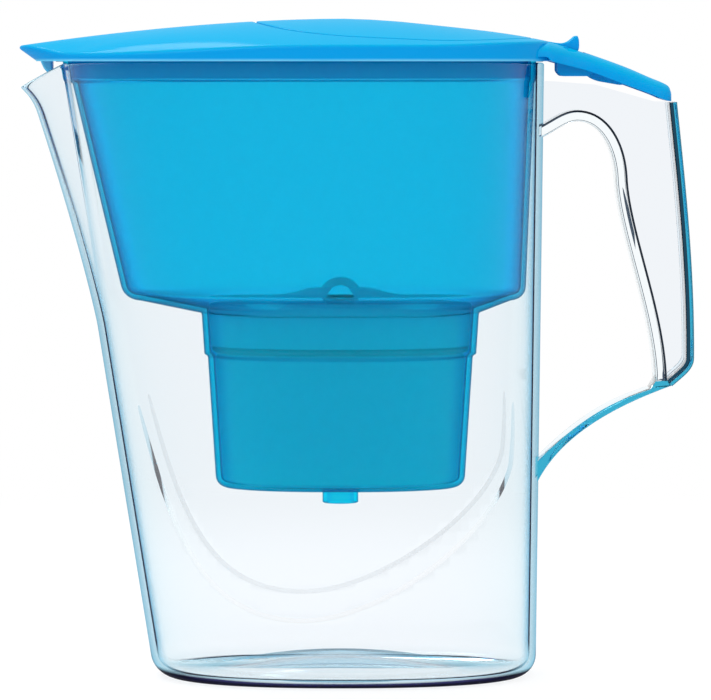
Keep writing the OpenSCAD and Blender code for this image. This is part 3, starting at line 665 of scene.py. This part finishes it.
def flap_edge(out):
    p = oval(COLS, FLAP_FRONT + out, FLAP_BACK + out, FLAP_HALF + out)
    p[:, 0] += FLAP_X
    return p


def plug_edge(inset):
    i = WALL + HOPPER_WALL + 2 * SLIDE_GAP + inset
    return oval(COLS, *(size_at(pair, PLUG_LOW) - i for pair in (FRONT, BACK, HALF)))


def on_dome(p, drop):
    return np.column_stack([p, dome_z(p[:, 0], p[:, 1]) - drop])


def under_drop(p):
    middle = np.array([FLAP_X, 0])
    beyond = np.linalg.norm(p - middle, axis=1) - np.linalg.norm(flap_edge(FLAP_GAP) - middle, axis=1)
    return mix(RECESS + 1.4, LID_WALL, part_of(beyond, 0.8, 2.5))


def lid_dome():
    skirt_in = 0.3 - SLIDE_GAP
    low = RIM_Z + SKIRT_LOW
    r = 0.9
    foot, brow = lid_edge(0, BEAK_FOOT), on_dome(lid_edge(0, BEAK_REACH), r + 0.3)
    rings = [at_z(lid_edge(0.25, BEAK_FOOT), low), at_z(foot, low + 0.3)]
    rings += [mix(at_z(foot, low + 0.3), brow, t) for t in (0.25, 0.5, 0.75, 0.94)]
    rings += [on_dome(lid_edge(r * v, BEAK_REACH), r * u) for u, v in quarter(6)]
    outer, gap = lid_edge(r, BEAK_REACH), flap_edge(FLAP_GAP)
    rings += [on_dome(mix(outer, gap, t), 0) for t in steps(0.04, 0.97, 26)]
    rings += [on_dome(mix(outer, gap, 0.99), 0.05), on_dome(gap, 0.35), on_dome(gap, RECESS)]
    ledge = flap_edge(FLAP_GAP - 3)
    rings += [on_dome(ledge, RECESS), on_dome(ledge, RECESS + 1.4)]
    plug = plug_edge(1.5)
    for t in steps(0.1, 1, 14):
        p = mix(ledge, plug, t)
        rings.append(on_dome(p, under_drop(p)))
    rings += [at_z(plug, mix(UNDER_Z, PLUG_LOW, t)) for t in (0.5, 1)]
    rings += [at_z(plug_edge(0), mix(PLUG_LOW, UNDER_Z, t)) for t in (0, 0.5, 1)]
    edge = lid_edge(SKIRT_OUT + skirt_in, BEAK_FOOT)
    rings += [at_z(edge, UNDER_Z), at_z(edge, low)]
    return skin("lid", rings, closed=True)


# The tail's sections: place behind the rim, top and bottom from the rim's height, half width
TAIL_X = (-5, 0.1, 2.2, 9, 18.3, 31.7, 41.7, 46.4, 49.2, 50.2)
TAIL_TOP = (7.2, 7.7, 7.7, 5.9, 3.1, -1.5, -5.6, -7.4, -8.9, -10.9)
TAIL_LOW = (2.1, 2.1, 0.5, -1.2, -3.6, -8.4, -11.9, -13.8, -14.6, -14.6)
TAIL_HALF = (24, 22.2, 21.5, 17.5, 14.6, 14, 13.4, 12.2, 10.2, 7.6)
TAIL_SCALE = 48.2 / 50.2


def tpt(tx, tz):
    """A point of the tail, from the rim's rear corner."""
    return (BACK[1] + tx * TAIL_SCALE, RIM_Z + tz)


def tail_ring(station, inset, drop, shift=0.0):
    x, top, low, half = station
    w, h = half - inset, top - inset - low + drop
    t = np.linspace(0, math.pi, 41)
    c, s = spow(np.cos(t), 0.6), spow(np.sin(t), 0.6)
    along = np.full(41, BACK[1] + x * TAIL_SCALE + shift)
    return np.column_stack([along, w * c, RIM_Z + low - drop + h * s])


def tail_mesh():
    stations = through(np.column_stack([TAIL_X, TAIL_TOP, TAIL_LOW, TAIL_HALF]), 6)
    tail = skin("tail", [tail_ring(s, 0, 0) for s in stations])
    rows = stations[12:43]
    hollow = [tail_ring(s, LID_WALL, 3, 1 if i == 0 else 0) for i, s in enumerate(rows)]
    return combine(tail, skin("tail_hollow", hollow), "DIFFERENCE")


def at_hinge(points):
    return [(HINGE_X + x, HINGE_Z + z) for x, z in points]


def rounded(points, r, n=4):
    """An outline with its corners rounded by up to r."""
    p = np.array(points, float)
    out = []
    for i in range(len(p)):
        a, b, c = p[i - 1], p[i], p[(i + 1) % len(p)]
        la, lc = np.linalg.norm(a - b), np.linalg.norm(c - b)
        d = min(r, 0.45 * la, 0.45 * lc)
        s, e = b + (a - b) / la * d, b + (c - b) / lc * d
        for t in np.linspace(0, 1, n + 1):
            out.append((1 - t) ** 2 * s + 2 * t * (1 - t) * b + t * t * e)
    return out


def lid_mesh():
    lid = lid_dome()
    slot_half = NECK_WIDE / 2 + 0.6
    fin_sweep = math.hypot(8.3, FIN_RISE - 0.1) + 0.8
    boss = at_hinge([(-3.9, 1.6), (4.5, 1.6), (4.5, -2.2), (2.2, -3.2), (-2.2, -3.2), (-3.9, -2)])
    cheek = [tpt(*p) for p in
             ((4.7, 5.4), (4.7, -3.4), (6.4, -5.2), (17.2, -5.2), (19, -3.9), (19, 1.4))]
    rib = [tpt(*p) for p in
           ((16.4, 2.9), (16.4, -5), (20.5, -7), (31.3, -8.8), (34.7, -6.8), (35.2, -4))]
    hook_x = -FRONT[1] - 0.9
    hook = [(hook_x, UNDER_Z + 1), (hook_x, RIM_Z - 4.1), (hook_x - 1.4, RIM_Z - 4.4),
            (hook_x - 3.2, RIM_Z - 2.4), (hook_x - 4.6, RIM_Z + 0.6), (hook_x - 4.6, UNDER_Z + 1)]
    combine(lid, tail_mesh())
    for side in (-1, 1):
        for name, outline, thick in (("boss", boss, 4), ("cheek", cheek, 2)):
            piece = upright(name, rounded(outline, 0.8), thick, 0.2)
            piece.data.transform(Matrix.Translation((0, side * (slot_half + thick / 2) * MM, 0)))
            combine(lid, piece)
    combine(lid, upright("rib", rounded(rib, 2), 2, 0.4))
    combine(lid, upright("hook", rounded(hook, 0.8), 8, 0.8))
    combine(lid, block("slot", (HINGE_X - 12, -slot_half, HINGE_Z - 12),
                       (HINGE_X + fin_sweep, slot_half, HINGE_Z + 18)), "DIFFERENCE")
    reach = slot_half + STUB_LEN + 0.3
    combine(lid, rod("socket", STUB_R + PIN_CLEAR, -reach, reach, HINGE_X, HINGE_Z), "DIFFERENCE")
    return lid


def flap_mesh():
    middle = np.array([FLAP_X, 0])
    edge = flap_edge(0)
    w = LID_WALL
    r = 0.5
    shares = [0.96, 0.8, 0.62, 0.45, 0.3, 0.18, 0.1, 0.05, 0.02]
    rings = [on_dome(mix(edge, middle, t), w) for t in shares]
    rings += [on_dome(flap_edge(-r * u), w - r * v) for u, v in quarter(5)]
    rings += [on_dome(flap_edge(-r * v), r * u) for u, v in quarter(5)]
    rings += [on_dome(mix(edge, middle, t), 0) for t in shares[::-1]]
    flap = skin("flap", rings)
    neck = [(-12, 5.1), (-9, 4.8), (-4, 3.8), (0, 3.1), (2.3, 2.9), (4.5, 3.4),
            (6.3, FIN_RISE - 1.1), (7.5, FIN_RISE), (8.3, FIN_RISE - 0.1), (8.8, 4.2), (8.9, 2),
            (8.7, 0.3), (7, -1.4), (3.5, -2.6), (0, -3), (-2.6, -1.5), (-4.2, 0.6), (-9, 2.7),
            (-12, 3.3)]
    combine(flap, upright("neck", rounded(at_hinge(neck), 0.8, 3), NECK_WIDE, 0.6))
    end = NECK_WIDE / 2 + STUB_LEN
    combine(flap, rod("stubs", STUB_R, -end, end, HINGE_X, HINGE_Z))
    return flap


# ---- materials ----
class Nodes:
    """A short way to write the nodes of a material or of the world."""

    def __init__(self, owner, out="ShaderNodeOutputMaterial"):
        owner.use_nodes = True
        self.owner, self.tree = owner, owner.node_tree
        self.tree.nodes.clear()
        self.out = self.add(out)

    def add(self, kind, inputs=None, **attrs):
        node = self.tree.nodes.new(kind)
        for key, value in attrs.items():
            setattr(node, key, value)
        for key, value in (inputs or {}).items():
            self.set(node, key, value)
        return node

    def set(self, node, key, value):
        if isinstance(value, bpy.types.NodeSocket):
            self.tree.links.new(value, node.inputs[key])
        else:
            node.inputs[key].default_value = value

    def done(self, shader):
        self.set(self.out, "Surface", shader)
        return self.owner

    def math(self, operation, *values):
        return self.add("ShaderNodeMath", dict(enumerate(values)), operation=operation).outputs[0]

    def span(self, value, lo=0.0, hi=1.0, to=(0.0, 1.0), kind="LINEAR"):
        """Where a value lies between lo and hi, as a number between the two of to."""
        ends = {"Value": value, "From Min": lo, "From Max": hi, "To Min": to[0], "To Max": to[1]}
        return self.add("ShaderNodeMapRange", ends, interpolation_type=kind).outputs["Result"]

    def ramp(self, fac, stops):
        node = self.add("ShaderNodeValToRGB", {"Fac": fac})
        cr = node.color_ramp
        while len(cr.elements) < len(stops):
            cr.elements.new(0.5)
        for e, (pos, col) in zip(cr.elements, stops):
            e.position, e.color = pos, (*col, 1)
        return node.outputs["Color"]

    def mix(self, fac, a, b):
        return self.add("ShaderNodeMix", {0: fac, 6: a, 7: b}, data_type="RGBA").outputs[2]

    def blend(self, share, a, b):
        """Two shaders, share of b."""
        return self.add("ShaderNodeMixShader", {0: share, 1: a, 2: b}).outputs[0]

    def place(self):
        return self.add("ShaderNodeTexCoord").outputs["Object"]

    def parts(self, vector):
        return self.add("ShaderNodeSeparateXYZ", {0: vector}).outputs

    def facing(self):
        """0 where the eye meets the surface squarely, 1 where it looks along it."""
        return self.add("ShaderNodeLayerWeight", {"Blend": 0.5}).outputs["Facing"]

    def noise(self, scale, detail=2.0, roughness=0.5):
        inputs = {"Vector": self.place(), "Scale": scale, "Detail": detail, "Roughness": roughness}
        return self.add("ShaderNodeTexNoise", inputs).outputs["Fac"]

    def bump(self, height, strength, distance):
        inputs = {"Height": height, "Strength": strength, "Distance": distance}
        return self.add("ShaderNodeBump", inputs).outputs["Normal"]

    def principled(self, inputs):
        return self.add("ShaderNodeBsdfPrincipled", inputs).outputs[0]

    def straight_through(self, tint):
        return self.add("ShaderNodeBsdfTransparent", {"Color": tint}).outputs[0]

    def seen(self):
        """1 for rays of the camera, a mirror or a clear wall, 0 for light that falls on a surface."""
        path = self.add("ShaderNodeLightPath").outputs
        direct = self.math("MAXIMUM", path["Is Camera Ray"], path["Is Glossy Ray"])
        return self.math("MAXIMUM", direct, path["Is Transmission Ray"])


def paint(name):
    return Nodes(bpy.data.materials.new(name))


def srgb(r, g, b):
    """A colour written as sRGB bytes, in linear light."""
    def lin(v):
        v /= 255
        return v / 12.92 if v <= 0.04045 else ((v + 0.055) / 1.055) ** 2.4
    return (lin(r), lin(g), lin(b))


# Tints of the plastics, as stops of facing
OUTSIDE_TINT = [
    (0.0, (0.93, 0.955, 0.975)), (0.45, (0.86, 0.93, 0.96)), (0.7, (0.68, 0.83, 0.90)),
    (0.9, (0.5, 0.72, 0.82)), (1.0, (0.3, 0.55, 0.68))]
OUTSIDE_LOW = [
    (0.0, (0.95, 0.965, 0.98)), (0.6, (0.8, 0.91, 0.95)), (0.85, (0.5, 0.74, 0.84)),
    (1.0, (0.1, 0.25, 0.36))]
# Inside: near-black past a facing of 0.86, a painted dark reflection line along the inner wall's
# grazing edge
INSIDE_TINT_AND_PAINTED_LINE = [
    (0.0, (0.93, 0.95, 0.97)), (0.4, (0.86, 0.93, 0.955)), (0.75, (0.62, 0.80, 0.88)),
    (0.83, (0.45, 0.66, 0.78)), (0.86, (0.01, 0.015, 0.06)), (1.0, (0.0, 0.0, 0.02))]
INSIDE_LOW = [(0.0, (0.93, 0.955, 0.97)), (0.8, (0.86, 0.94, 0.965)), (1.0, (0.62, 0.84, 0.91))]
# Near-black just past the angle of total reflection, a painted dark reflection, then pale
INSIDE_PAINTED_REFLECTION = [
    (0.0, (0.01, 0.015, 0.05)), (0.29, (0.005, 0.01, 0.03)), (0.3, (0.55, 0.76, 0.86)),
    (0.4, (0.75, 0.88, 0.94))]
# Near-black: the foot's thin dark line, painted shade
PAINTED_FOOT_SHADE = [(0.0, (0.0, 0.0, 0.02)), (1.0, (0.0, 0.0, 0.01))]
HANDLE_TINT = [(0.0, (0.99, 0.99, 0.995)), (0.6, (0.93, 0.965, 0.98)), (1.0, (0.45, 0.72, 0.86))]
WEB_TINT = [(0.0, (0.88, 0.91, 0.945)), (1.0, (0.6, 0.8, 0.9))]
PALE_TINT = [(0.0, (0.93, 0.97, 0.99)), (1.0, (0.6, 0.85, 0.92))]
EDGE_TINT = [(0.0, (0.04, 0.42, 0.62)), (1.0, (0.0, 0.2, 0.4))]
# Near-black sides of the thin handle strips: painted dark reflection lines
PAINTED_DARK_LINE_TINT = [(0.0, (0.004, 0.008, 0.016)), (1.0, (0.0, 0.0, 0.004))]
BLUE_WALL = [
    (0.0, (0.0, 0.78, 0.98)), (0.4, (0.0, 0.73, 0.96)), (0.7, (0.0, 0.50, 0.8)),
    (1.0, (0.0, 0.2, 0.4))]
# Lighter housing blue: painted light for the white cartridge behind it
BLUE_HOUSING_PAINTED_LIGHT = [
    (0.0, (0.0, 0.84, 1.0)), (0.7, (0.0, 0.79, 1.0)), (0.85, (0.0, 0.5, 0.86)),
    (1.0, (0.0, 0.2, 0.4))]
BLUE_RIM = [
    (0.3, (0.0, 0.86, 0.98)), (0.5, (0.0, 0.8, 0.95)), (0.75, (0.0, 0.62, 0.8)),
    (1.0, (0.0, 0.3, 0.45))]
# The lid's blue with painted shade, as stops of how far the surface looks up: darker on the skirt,
# lighter on top
LID_BLUE_AND_PAINTED_SHADE = [
    (0.0, srgb(0, 158, 232)), (0.35, srgb(0, 168, 236)), (0.8, srgb(0, 180, 236)),
    (1.0, srgb(0, 184, 238))]


def painted_foot_shade(n, facing, place):
    """Where the near, outward turn of the jug's foot shows its thin dark line of painted shade."""
    around = n.add("ShaderNodeNewGeometry").outputs
    down = n.span(n.parts(around["Normal"])["Z"], -0.45, -0.65)
    near = n.math("SUBTRACT", 1.0, around["Backfacing"])
    dome = (1 / (DOME[0] * MM), 1 / (DOME[1] * MM), 0)
    plan = n.add("ShaderNodeVectorMath", {0: place, 1: dome}, operation="MULTIPLY").outputs[0]
    reach = n.add("ShaderNodeVectorMath", {0: plan}, operation="LENGTH").outputs["Value"]
    turn = n.math("MULTIPLY", n.span(facing, 0.3, 0.42), n.span(reach, 1.02, 1.08))
    return n.math("MULTIPLY", n.math("MULTIPLY", down, near), turn)


def clear_plastic(name, stops, low_stops=None, rough=0.02, rim=None, painted_reflection_stops=None):
    """Clear moulded plastic. The tint deepens where the eye looks along the surface. Near the base,
    where the wall turns under, low_stops take over, with a thin dark line of painted shade on the
    foot's outward turn. rim has the two values of facing between which the tint alone takes over
    from the mirror that glass is there, as in front of a dark card. The last stops paint the surface
    where it is met from within the wall past the angle of total reflection: a painted dark
    reflection just past that angle, then a pale tint."""
    n = paint(name)
    facing = n.facing()
    tint = n.ramp(facing, stops)
    if low_stops:
        place = n.place()
        # The foot's thin dark line, painted shade, goes into the low tint
        line = painted_foot_shade(n, facing, place)
        low_tint = n.mix(line, n.ramp(facing, low_stops), n.ramp(facing, PAINTED_FOOT_SHADE))
        tint = n.mix(n.span(n.parts(place)["Z"], 0.012, 0.006), tint, low_tint)
    waves = n.noise(14, 2, 0.4)
    result = n.principled({
        "Base Color": tint, "Roughness": n.span(waves, to=(0.0, rough)), "IOR": 1.49,
        "Transmission Weight": 1.0, "Specular Tint": (0.12, 0.14, 0.16, 1),
        "Normal": n.bump(waves, 0.02, 0.002)})
    if rim:
        share = n.span(facing, *rim, to=(0.0, 0.92), kind="SMOOTHSTEP")
        # Past total reflection the inside shows a painted dark reflection, then a pale tint
        if painted_reflection_stops:
            back = n.add("ShaderNodeNewGeometry").outputs["Backfacing"]
            total = n.math("MULTIPLY", n.span(facing, 0.25, 0.258), back)
            share = n.math("MAXIMUM", share, total)
            tint = n.mix(back, tint, n.ramp(facing, painted_reflection_stops))
        result = n.blend(share, result, n.straight_through(tint))
    return n.done(result)


def bead_plastic():
    """The beads' clear plastic, made a soft pale white: a painted highlight along each bead."""
    n = paint("bead_plastic")
    tint = n.ramp(n.noise(60, 2), [(0.3, (0.96, 0.98, 0.985)), (0.7, (1.0, 1.0, 1.0))])
    return n.done(n.principled({
        "Base Color": tint, "Roughness": 0.5, "Specular IOR Level": 0.0, "Alpha": 0.2}))


def tinted_plastic():
    """Translucent blue plastic, deeper where the eye looks along the wall, lighter on the housing:
    painted light there, standing in for the light of the white cartridge behind it.
    """
    n = paint("tinted_plastic")
    facing = n.facing()
    # The housing's lighter tint is painted light
    housing = n.span(n.parts(n.place())["Z"], MOUTH_Z * MM, (MOUTH_Z - 4) * MM)
    tint = n.mix(housing, n.ramp(facing, BLUE_WALL), n.ramp(facing, BLUE_HOUSING_PAINTED_LIGHT))
    shader = n.principled({
        "Base Color": tint, "Roughness": n.span(n.noise(30), to=(0.07, 0.11)), "IOR": 1.2,
        "Transmission Weight": 0.9, "Specular Tint": (0.2, 0.3, 0.4, 1),
        "Normal": n.bump(n.noise(900, 3), 0.03, 0.0002)})
    share = n.span(facing, 0.22, 0.42, (0.0, 0.95), "SMOOTHSTEP")
    return n.done(n.blend(share, shader, n.straight_through(n.ramp(facing, BLUE_RIM))))


def solid_plastic(name, colour, dark, roughness, coat):
    """Plain plastic or rubber, faintly mottled between two colours."""
    n = paint(name)
    cloud = n.noise(22, 3)
    return n.done(n.principled({
        "Base Color": n.ramp(cloud, [(0.3, dark), (0.7, colour)]),
        "Roughness": n.span(cloud, to=(roughness * 0.85, roughness * 1.2)), "IOR": 1.4,
        "Coat Weight": coat, "Coat Roughness": 0.08,
        "Normal": n.bump(n.noise(1400, 2), 0.04, 0.0002)}))


def lid_plastic():
    """Blue plastic with a soft gloss, with painted shade: lighter where it lies flat under the light
    than on the skirt. The pale line along the skirt's lower edge is a painted highlight."""
    n = paint("lid_plastic")
    # Painted shade: the colour follows how far the surface looks up
    up = n.parts(n.add("ShaderNodeNewGeometry").outputs["Normal"])["Z"]
    cloud = n.noise(22, 3)
    tint = n.ramp(n.math("MULTIPLY_ADD", cloud, 0.08, up), LID_BLUE_AND_PAINTED_SHADE)
    # A painted highlight: a pale line along the skirt's lower edge, ending before the tail
    place = n.parts(n.place())
    low = n.span(place["Z"], (RIM_Z + 1.6) * MM, (RIM_Z + 0.7) * MM)
    before_tail = n.span(place["X"], 0.078, 0.07)
    line = n.ramp(cloud, [(0.3, srgb(90, 205, 250)), (0.7, srgb(120, 215, 252))])
    return n.done(n.principled({
        "Base Color": n.mix(n.math("MULTIPLY", low, before_tail), tint, line),
        "Roughness": n.span(cloud, to=(0.3, 0.4)), "Specular IOR Level": 0.0,
        "Coat Weight": 0.18, "Coat Roughness": 0.12, "Coat IOR": 1.45,
        "Normal": n.bump(n.noise(1400, 2), 0.04, 0.0002)}))


def granule_material():
    """Black and amber grains."""
    n = paint("granules")
    cells = n.add("ShaderNodeTexVoronoi", {"Vector": n.place(), "Scale": 900}).outputs
    tint = n.ramp(cells["Color"], [
        (0.35, srgb(38, 38, 40)), (0.6, srgb(60, 58, 56)), (0.75, srgb(205, 190, 150))])
    return n.done(n.principled({
        "Base Color": tint, "Roughness": 0.75, "Normal": n.bump(cells["Distance"], 0.9, 0.0008)}))


def screen_material():
    """Fine woven mesh."""
    n = paint("screen_mesh")
    fine = {0: n.place(), 1: (9000, 9000, 9000)}
    parts = n.parts(n.add("ShaderNodeVectorMath", fine, operation="MULTIPLY").outputs[0])
    weave = n.math("MAXIMUM", n.math("SINE", parts["X"]), n.math("SINE", parts["Y"]))
    tint = n.ramp(weave, [(0.3, srgb(120, 125, 130)), (0.8, srgb(225, 228, 232))])
    return n.done(n.principled({
        "Base Color": tint, "Roughness": 0.5, "Normal": n.bump(weave, 0.6, 0.0002)}))


# ---- the studio ----
# The camera's focus, height and distance in metres
FOCUS = Vector((0.0058, 0, 0.1253))
CAMERA_Z = 0.2366
DISTANCE = 1.65
SENSOR = 36
MM_PER_PX = 0.3838
WIDTH_PX = 711
WHITE = (1, 1, 1, 1)
FLOOR_Z, FLOOR_THICK, FLOOR_REACH = -0.2, 2.8, 6000


def set_camera():
    cam = bpy.data.cameras.new("camera")
    cam.sensor_fit = "HORIZONTAL"
    cam.sensor_width = SENSOR
    cam.lens = SENSOR * DISTANCE / (WIDTH_PX * MM_PER_PX * MM)
    cam.clip_start, cam.clip_end = 0.05, 50
    obj = bpy.data.objects.new("camera", cam)
    bpy.context.scene.collection.objects.link(obj)
    rise = CAMERA_Z - FOCUS.z
    obj.location = FOCUS + Vector((0, -math.sqrt(DISTANCE**2 - rise**2), rise))
    obj.rotation_euler = (FOCUS - obj.location).to_track_quat("-Z", "Y").to_euler()
    bpy.context.scene.camera = obj


def area_light(name, place, target, size, watts):
    light = bpy.data.lights.new(name, "AREA")
    light.shape, light.size, light.size_y, light.energy = "RECTANGLE", size[0], size[1], watts
    obj = bpy.data.objects.new(name, light)
    bpy.context.scene.collection.objects.link(obj)
    obj.location = place
    obj.rotation_euler = (Vector(target) - Vector(place)).to_track_quat("-Z", "Y").to_euler()


def set_world():
    """White to the eye, and softer as a light."""
    world = bpy.data.worlds.new("studio")
    bpy.context.scene.world = world
    n = Nodes(world, "ShaderNodeOutputWorld")
    soft = n.add("ShaderNodeBackground", {"Color": WHITE, "Strength": 0.7}).outputs[0]
    full = n.add("ShaderNodeBackground", {"Color": WHITE, "Strength": 1.0}).outputs[0]
    n.done(n.blend(n.seen(), soft, full))


def floor_material():
    """White paper near the object, which takes its shadow, and plain white further out."""
    n = paint("floor")
    far = n.add("ShaderNodeVectorMath", {0: n.place()}, operation="LENGTH").outputs["Value"]
    fade = n.span(far, 0.25, 0.7, kind="SMOOTHSTEP")
    paper = n.add("ShaderNodeBsdfDiffuse", {"Color": (0.93, 0.93, 0.94, 1)}).outputs[0]
    level = n.span(fade, to=(1.12, 1.0))
    glow = n.add("ShaderNodeEmission", {"Color": WHITE, "Strength": level}).outputs[0]
    share = n.math("MULTIPLY", n.span(fade, to=(0.75, 1.0)), n.seen())
    return n.done(n.blend(share, paper, glow))


def set_floor():
    a = np.linspace(0, 2 * math.pi, 96, endpoint=False)
    rows = ((FLOOR_REACH, FLOOR_Z - FLOOR_THICK), (FLOOR_REACH, FLOOR_Z), (10, FLOOR_Z))
    rings = [np.stack([r * np.cos(a), r * np.sin(a), np.full(96, z)], 1) for r, z in rows]
    floor = skin("floor", rings)
    floor.data.materials.append(floor_material())


# ---- the object ----
def build_jug():
    plastics = [
        clear_plastic("clear_plastic", OUTSIDE_TINT, OUTSIDE_LOW, rim=(0.4, 0.6)),
        clear_plastic("clear_plastic_inside", INSIDE_TINT_AND_PAINTED_LINE, INSIDE_LOW, rim=(0.6, 0.85),
                      painted_reflection_stops=INSIDE_PAINTED_REFLECTION),
        clear_plastic("handle_plastic", HANDLE_TINT),
        clear_plastic("web_plastic", WEB_TINT),
        clear_plastic("pale_edge", PALE_TINT),
        clear_plastic("tinted_edge", EDGE_TINT, rough=0.05),
        clear_plastic("painted_dark_lines", PAINTED_DARK_LINE_TINT, rough=0.05),
        bead_plastic(),
    ]
    jug = jug_shell()
    for m in plastics:
        jug.data.materials.append(m)
    for piece in handle_pieces() + [bead_mesh(-1), bead_mesh(1)]:
        combine(jug, piece)
    finish_mesh(jug, "jug", ["pitcher_body"], plastics)


def build():
    build_jug()
    blue, lid_blue = tinted_plastic(), lid_plastic()
    white = solid_plastic("cartridge_plastic", srgb(244, 252, 255), srgb(238, 248, 252), 0.45, 0.1)
    cap = solid_plastic("cap_plastic", srgb(240, 243, 245), srgb(232, 237, 240), 0.45, 0.1)
    rubber = solid_plastic("seal_rubber", srgb(214, 216, 218), srgb(204, 206, 208), 0.7, 0.0)
    for mesh, body, node, slot, material in (
        (hopper_mesh, "hopper", "hopper", "tinted_plastic", blue),
        (lid_mesh, "lid", "lid_shell", "lid_plastic", lid_blue),
        (flap_mesh, "flap", "flip_lid", "flap_plastic", lid_blue),
        (cartridge_cup, "cartridge", "cartridge_shell", "cartridge_plastic", white),
        (cartridge_top, "cartridge", "cartridge_cap", "cap_plastic", cap),
        (seal_mesh, "cartridge", "rim_seal", "seal_rubber", rubber),
    ):
        finish_mesh(mesh(), body, [node], [material])
    for node, material in (("inlet_screen", screen_material()), ("outlet_screen", screen_material()),
                           ("filter_media", granule_material())):
        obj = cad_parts[node]
        obj.data.materials.clear()
        obj.data.materials.append(material)


build()
set_camera()
set_world()
set_floor()
area_light("key", (-0.7, -1.2, 1.3), (0, 0, 0.12), (1.2, 1.2), 7)
area_light("fill", (1.2, -0.9, 0.8), (0, 0, 0.12), (1.0, 1.0), 2)
area_light("top", (-0.45, 0.6, 1.25), (-0.04, 0, 0.24), (0.9, 0.3), 5)
scene = bpy.context.scene
scene.view_settings.view_transform = "Standard"
scene.cycles.max_bounces = 24
scene.cycles.transmission_bounces = 24
scene.cycles.transparent_max_bounces = 16
